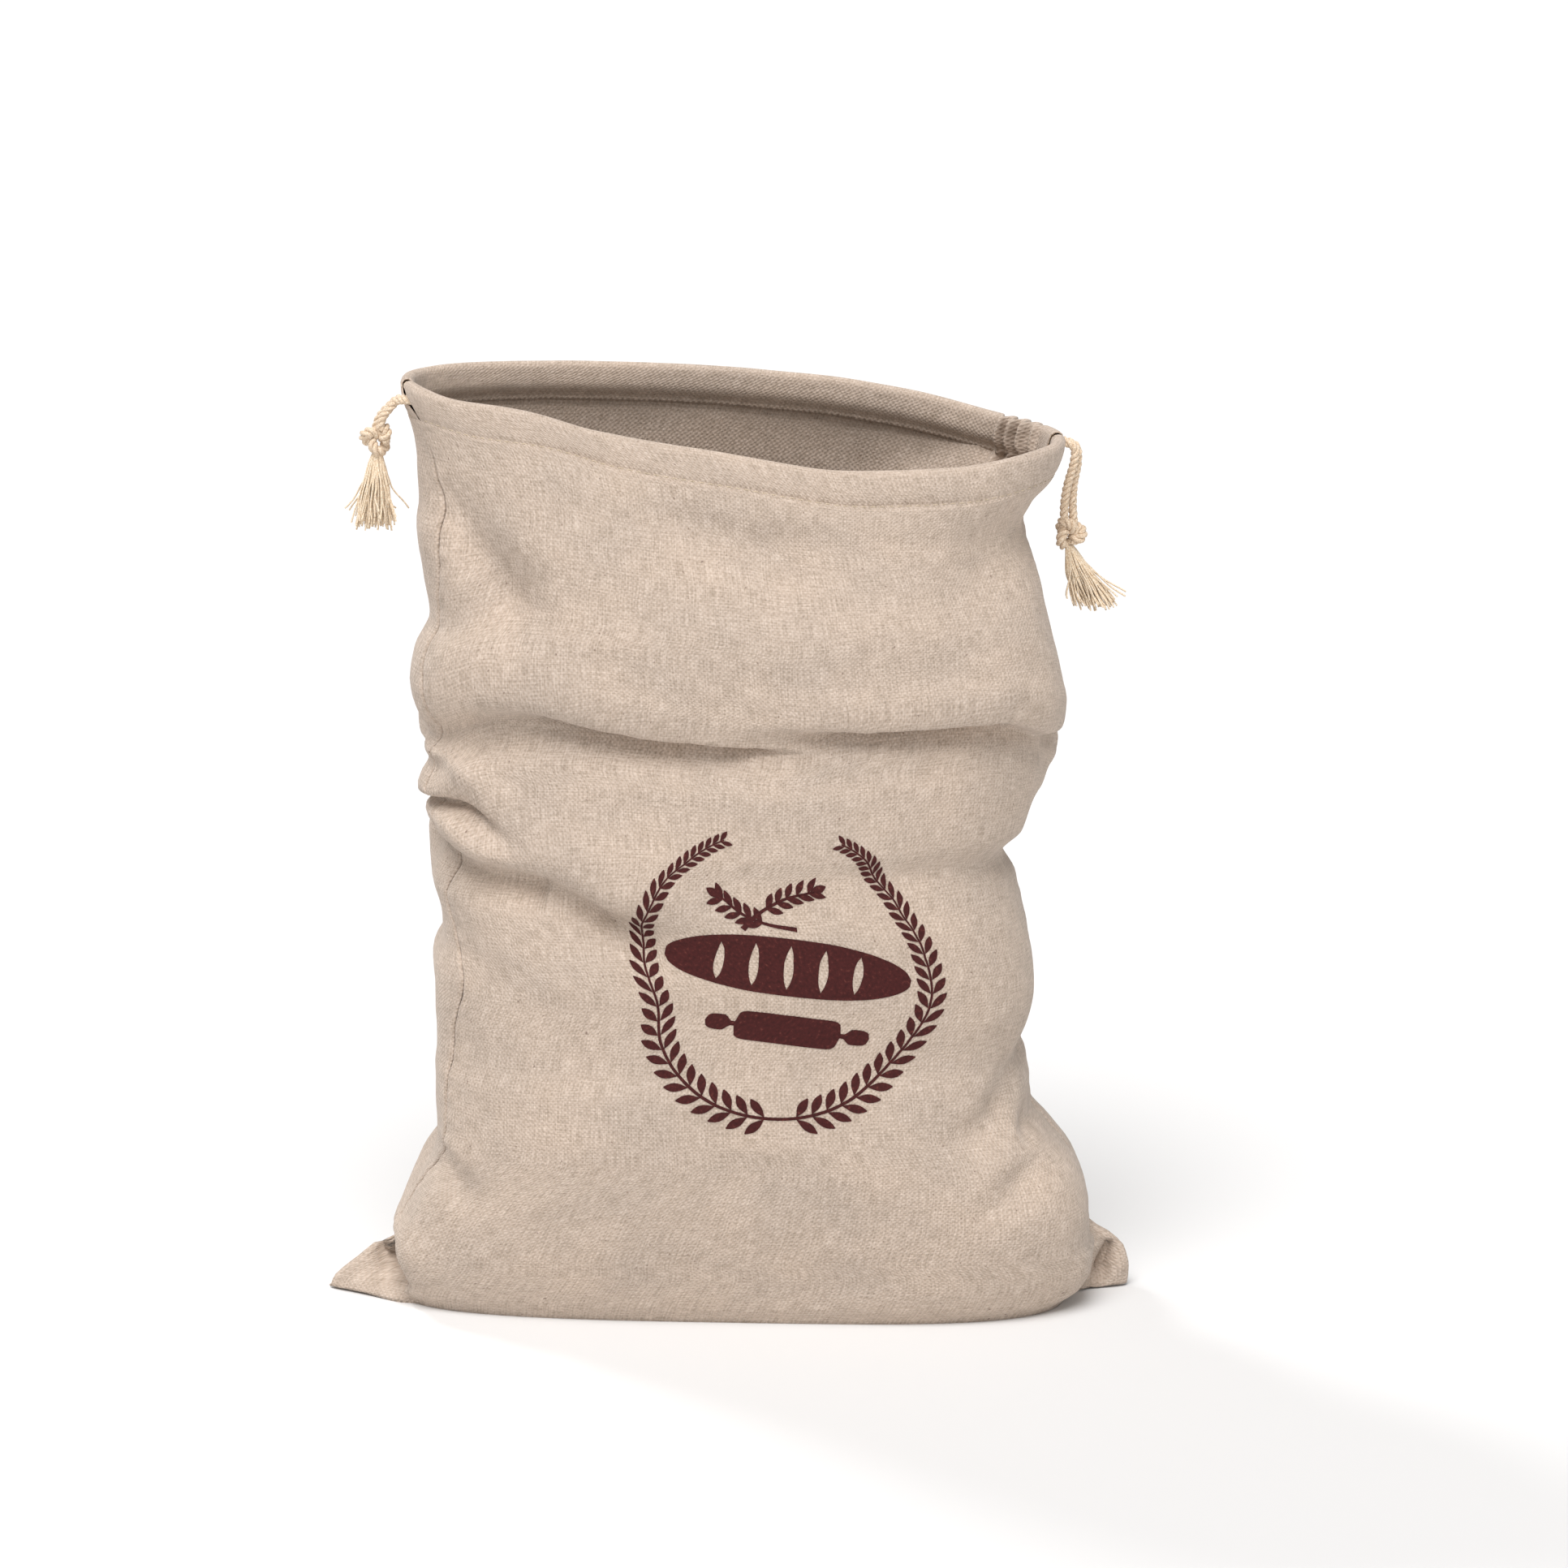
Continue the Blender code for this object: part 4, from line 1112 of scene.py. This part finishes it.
def make_print(printed, material):
    """A leaf wreath round two wheat ears, a loaf and a rolling pin, placed in mm from its middle."""
    bm = bmesh.new()
    uv = bm.loops.layers.uv.new("cloth")
    patches = wreath_patches()
    patches += ear_patches(-12.0, 19.0, math.radians(24), 34.0, 5)
    patches += ear_patches(7.5, 18.5, math.radians(152), 32.0, 5)
    patches += loaf_patches(0.5, 3.0, 44.0, 12.5, -0.13)
    patches += rolling_pin_patches(-1.0, -21.0, -0.14)
    for shape, n_along, n_across in patches:
        ink_patch(bm, uv, printed, shape, n_along, n_across)
    bmesh.ops.recalc_face_normals(bm, faces=bm.faces)
    for face in bm.faces:
        if face.normal.y > 0:
            face.normal_flip()
    return object_from(mesh_from(bm, "print"), "print", material)


# ==== stitches ====
def stitch_runs(cloth, side, row, spacing, length):
    """Short stitches that lie on one row of the cloth."""
    line = cloth[row]
    reach = along(line)
    normal = surface_normals(cloth, side)[row]
    runs = []
    place = 3.0
    while place < reach[-1] - 3.0:
        at = np.linspace(place, place + length, 5)
        points = resample(line, at)
        out = np.stack([np.interp(at, reach, normal[:, k]) for k in range(3)], axis=1)
        lift = np.array([-0.25, 0.12, 0.2, 0.12, -0.25])
        runs.append(points + out * lift[:, None])
        place += spacing
    return runs


def make_stitches(name, cloth, side, material):
    """The line of stitches that holds the turned-in casing down."""
    row = UNDER_ROWS + len(wall_levels(side))
    runs = stitch_runs(cloth, side, row, 3.3, 2.5)
    return object_from(tube_mesh(runs, 0.2, 0), name, material)


# ==== the bag ====
def build_bag():
    linen = linen_material("unbleached_linen", "#C1B2A5", "#A6988A", "#D8CABE")
    ink = ink_material()
    rope = cotton_material("laid_cotton_cord", "#B39A7E", "#DCC6AC", "#F0E2CF", 0.5)
    yarn = cotton_material("loose_cotton_yarn", "#C9B091", "#E6D2B6", "#F6EAD8", 0.6)
    thread = cotton_material("linen_thread", "#A8977F", "#C4B49C", "#DACCB8", 0.4)
    pieces = []

    front, front_cloth, front_across, front_down = make_panel("linen_front", FRONT, linen)
    back, back_cloth, _, _ = make_panel("linen_back", BACK, linen)
    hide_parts("front_panel")
    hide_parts("back_panel")
    front_stitches = make_stitches("casing_stitches_front", front_cloth, FRONT, thread)
    back_stitches = make_stitches("casing_stitches_back", back_cloth, BACK, thread)
    printed = PrintedCloth(front_cloth, front_across, front_down)
    motif = make_print(printed, ink)
    for piece in (front, back, front_stitches, back_stitches, motif):
        pieces.append(piece)

    for name, left, knot, foot, tilt, lean, seed in (
        ("left", True, LEFT_KNOT, LEFT_TASSEL_FOOT, 20, 0.0, 21),
        ("right", False, RIGHT_KNOT, RIGHT_TASSEL_FOOT, -30, 1.0, 22),
    ):
        cord, path = make_drawcord(f"rope_{name}", left, rope)
        tied = make_knot(f"tied_{name}", knot, tilt, rope)
        frayed = make_tassel(f"frayed_{name}", knot, foot, lean, seed, yarn)
        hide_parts(f"drawcord_{name}")
        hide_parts(f"knot_{name}")
        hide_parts(f"tassel_{name}")
        for piece in (cord, tied, frayed):
            pieces.append(piece)

    for piece in pieces:
        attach(piece, "root")


# ==== stage, light and camera ====
VIEW_PITCH = 13.0  # degrees above level
VIEW_DISTANCE = 2.2
VIEW_TARGET = (0.0204, 0.0005, 0.197)
LENS = 135.0


def build_stage():
    bm = bmesh.new()
    bmesh.ops.create_grid(bm, x_segments=1, y_segments=1, size=40.0)
    board = paper_white("matte_white_board", "#DFDFDF")
    floor = object_from(mesh_from(bm, "floor"), "floor", board, smooth=False)


def sunlight(name, heading, height, strength, softness, colour):
    """Even light over the whole floor, from a heading (0 is the bag's front, positive towards -X) and a
    height above level, both in degrees."""
    data = bpy.data.lights.new(name, "SUN")
    data.energy = strength * math.pi
    data.angle = math.radians(softness)
    data.color = linear(colour)[:3]
    lamp = bpy.data.objects.new(name, data)
    turn, lift = math.radians(heading), math.radians(height)
    toward = Vector((-math.sin(turn) * math.cos(lift), -math.cos(turn) * math.cos(lift), math.sin(lift)))
    lamp.rotation_euler = toward.to_track_quat("Z", "Y").to_euler()
    bpy.context.scene.collection.objects.link(lamp)


def build_light():
    world = bpy.data.worlds.new("studio")
    world.use_nodes = True
    world.node_tree.nodes["Background"].inputs["Color"].default_value = linear("#FFFFFF")
    world.node_tree.nodes["Background"].inputs["Strength"].default_value = 0.34
    bpy.context.scene.world = world
    sunlight("key", 14, 61, 1.02, 40, "#FFFDFC")
    sunlight("fill", -22, 10, 0.17, 40, "#FFFEFD")
    sunlight("behind", 140, 40, 0.34, 12, "#FFFFFF")
    bpy.context.scene.view_settings.view_transform = "Standard"


def build_camera():
    data = bpy.data.cameras.new("camera")
    data.lens = LENS
    data.sensor_width = 36.0
    data.clip_end = 20.0
    camera = bpy.data.objects.new("camera", data)
    pitch = math.radians(VIEW_PITCH)
    target = Vector(VIEW_TARGET)
    camera.location = target + VIEW_DISTANCE * Vector((0, -math.cos(pitch), math.sin(pitch)))
    camera.rotation_euler = (math.radians(90) - pitch, 0, 0)
    bpy.context.scene.collection.objects.link(camera)
    bpy.context.scene.camera = camera


build_stage()
build_light()
build_camera()
build_bag()


def plain(box):
    return [[float(value) for value in corner] for corner in box]
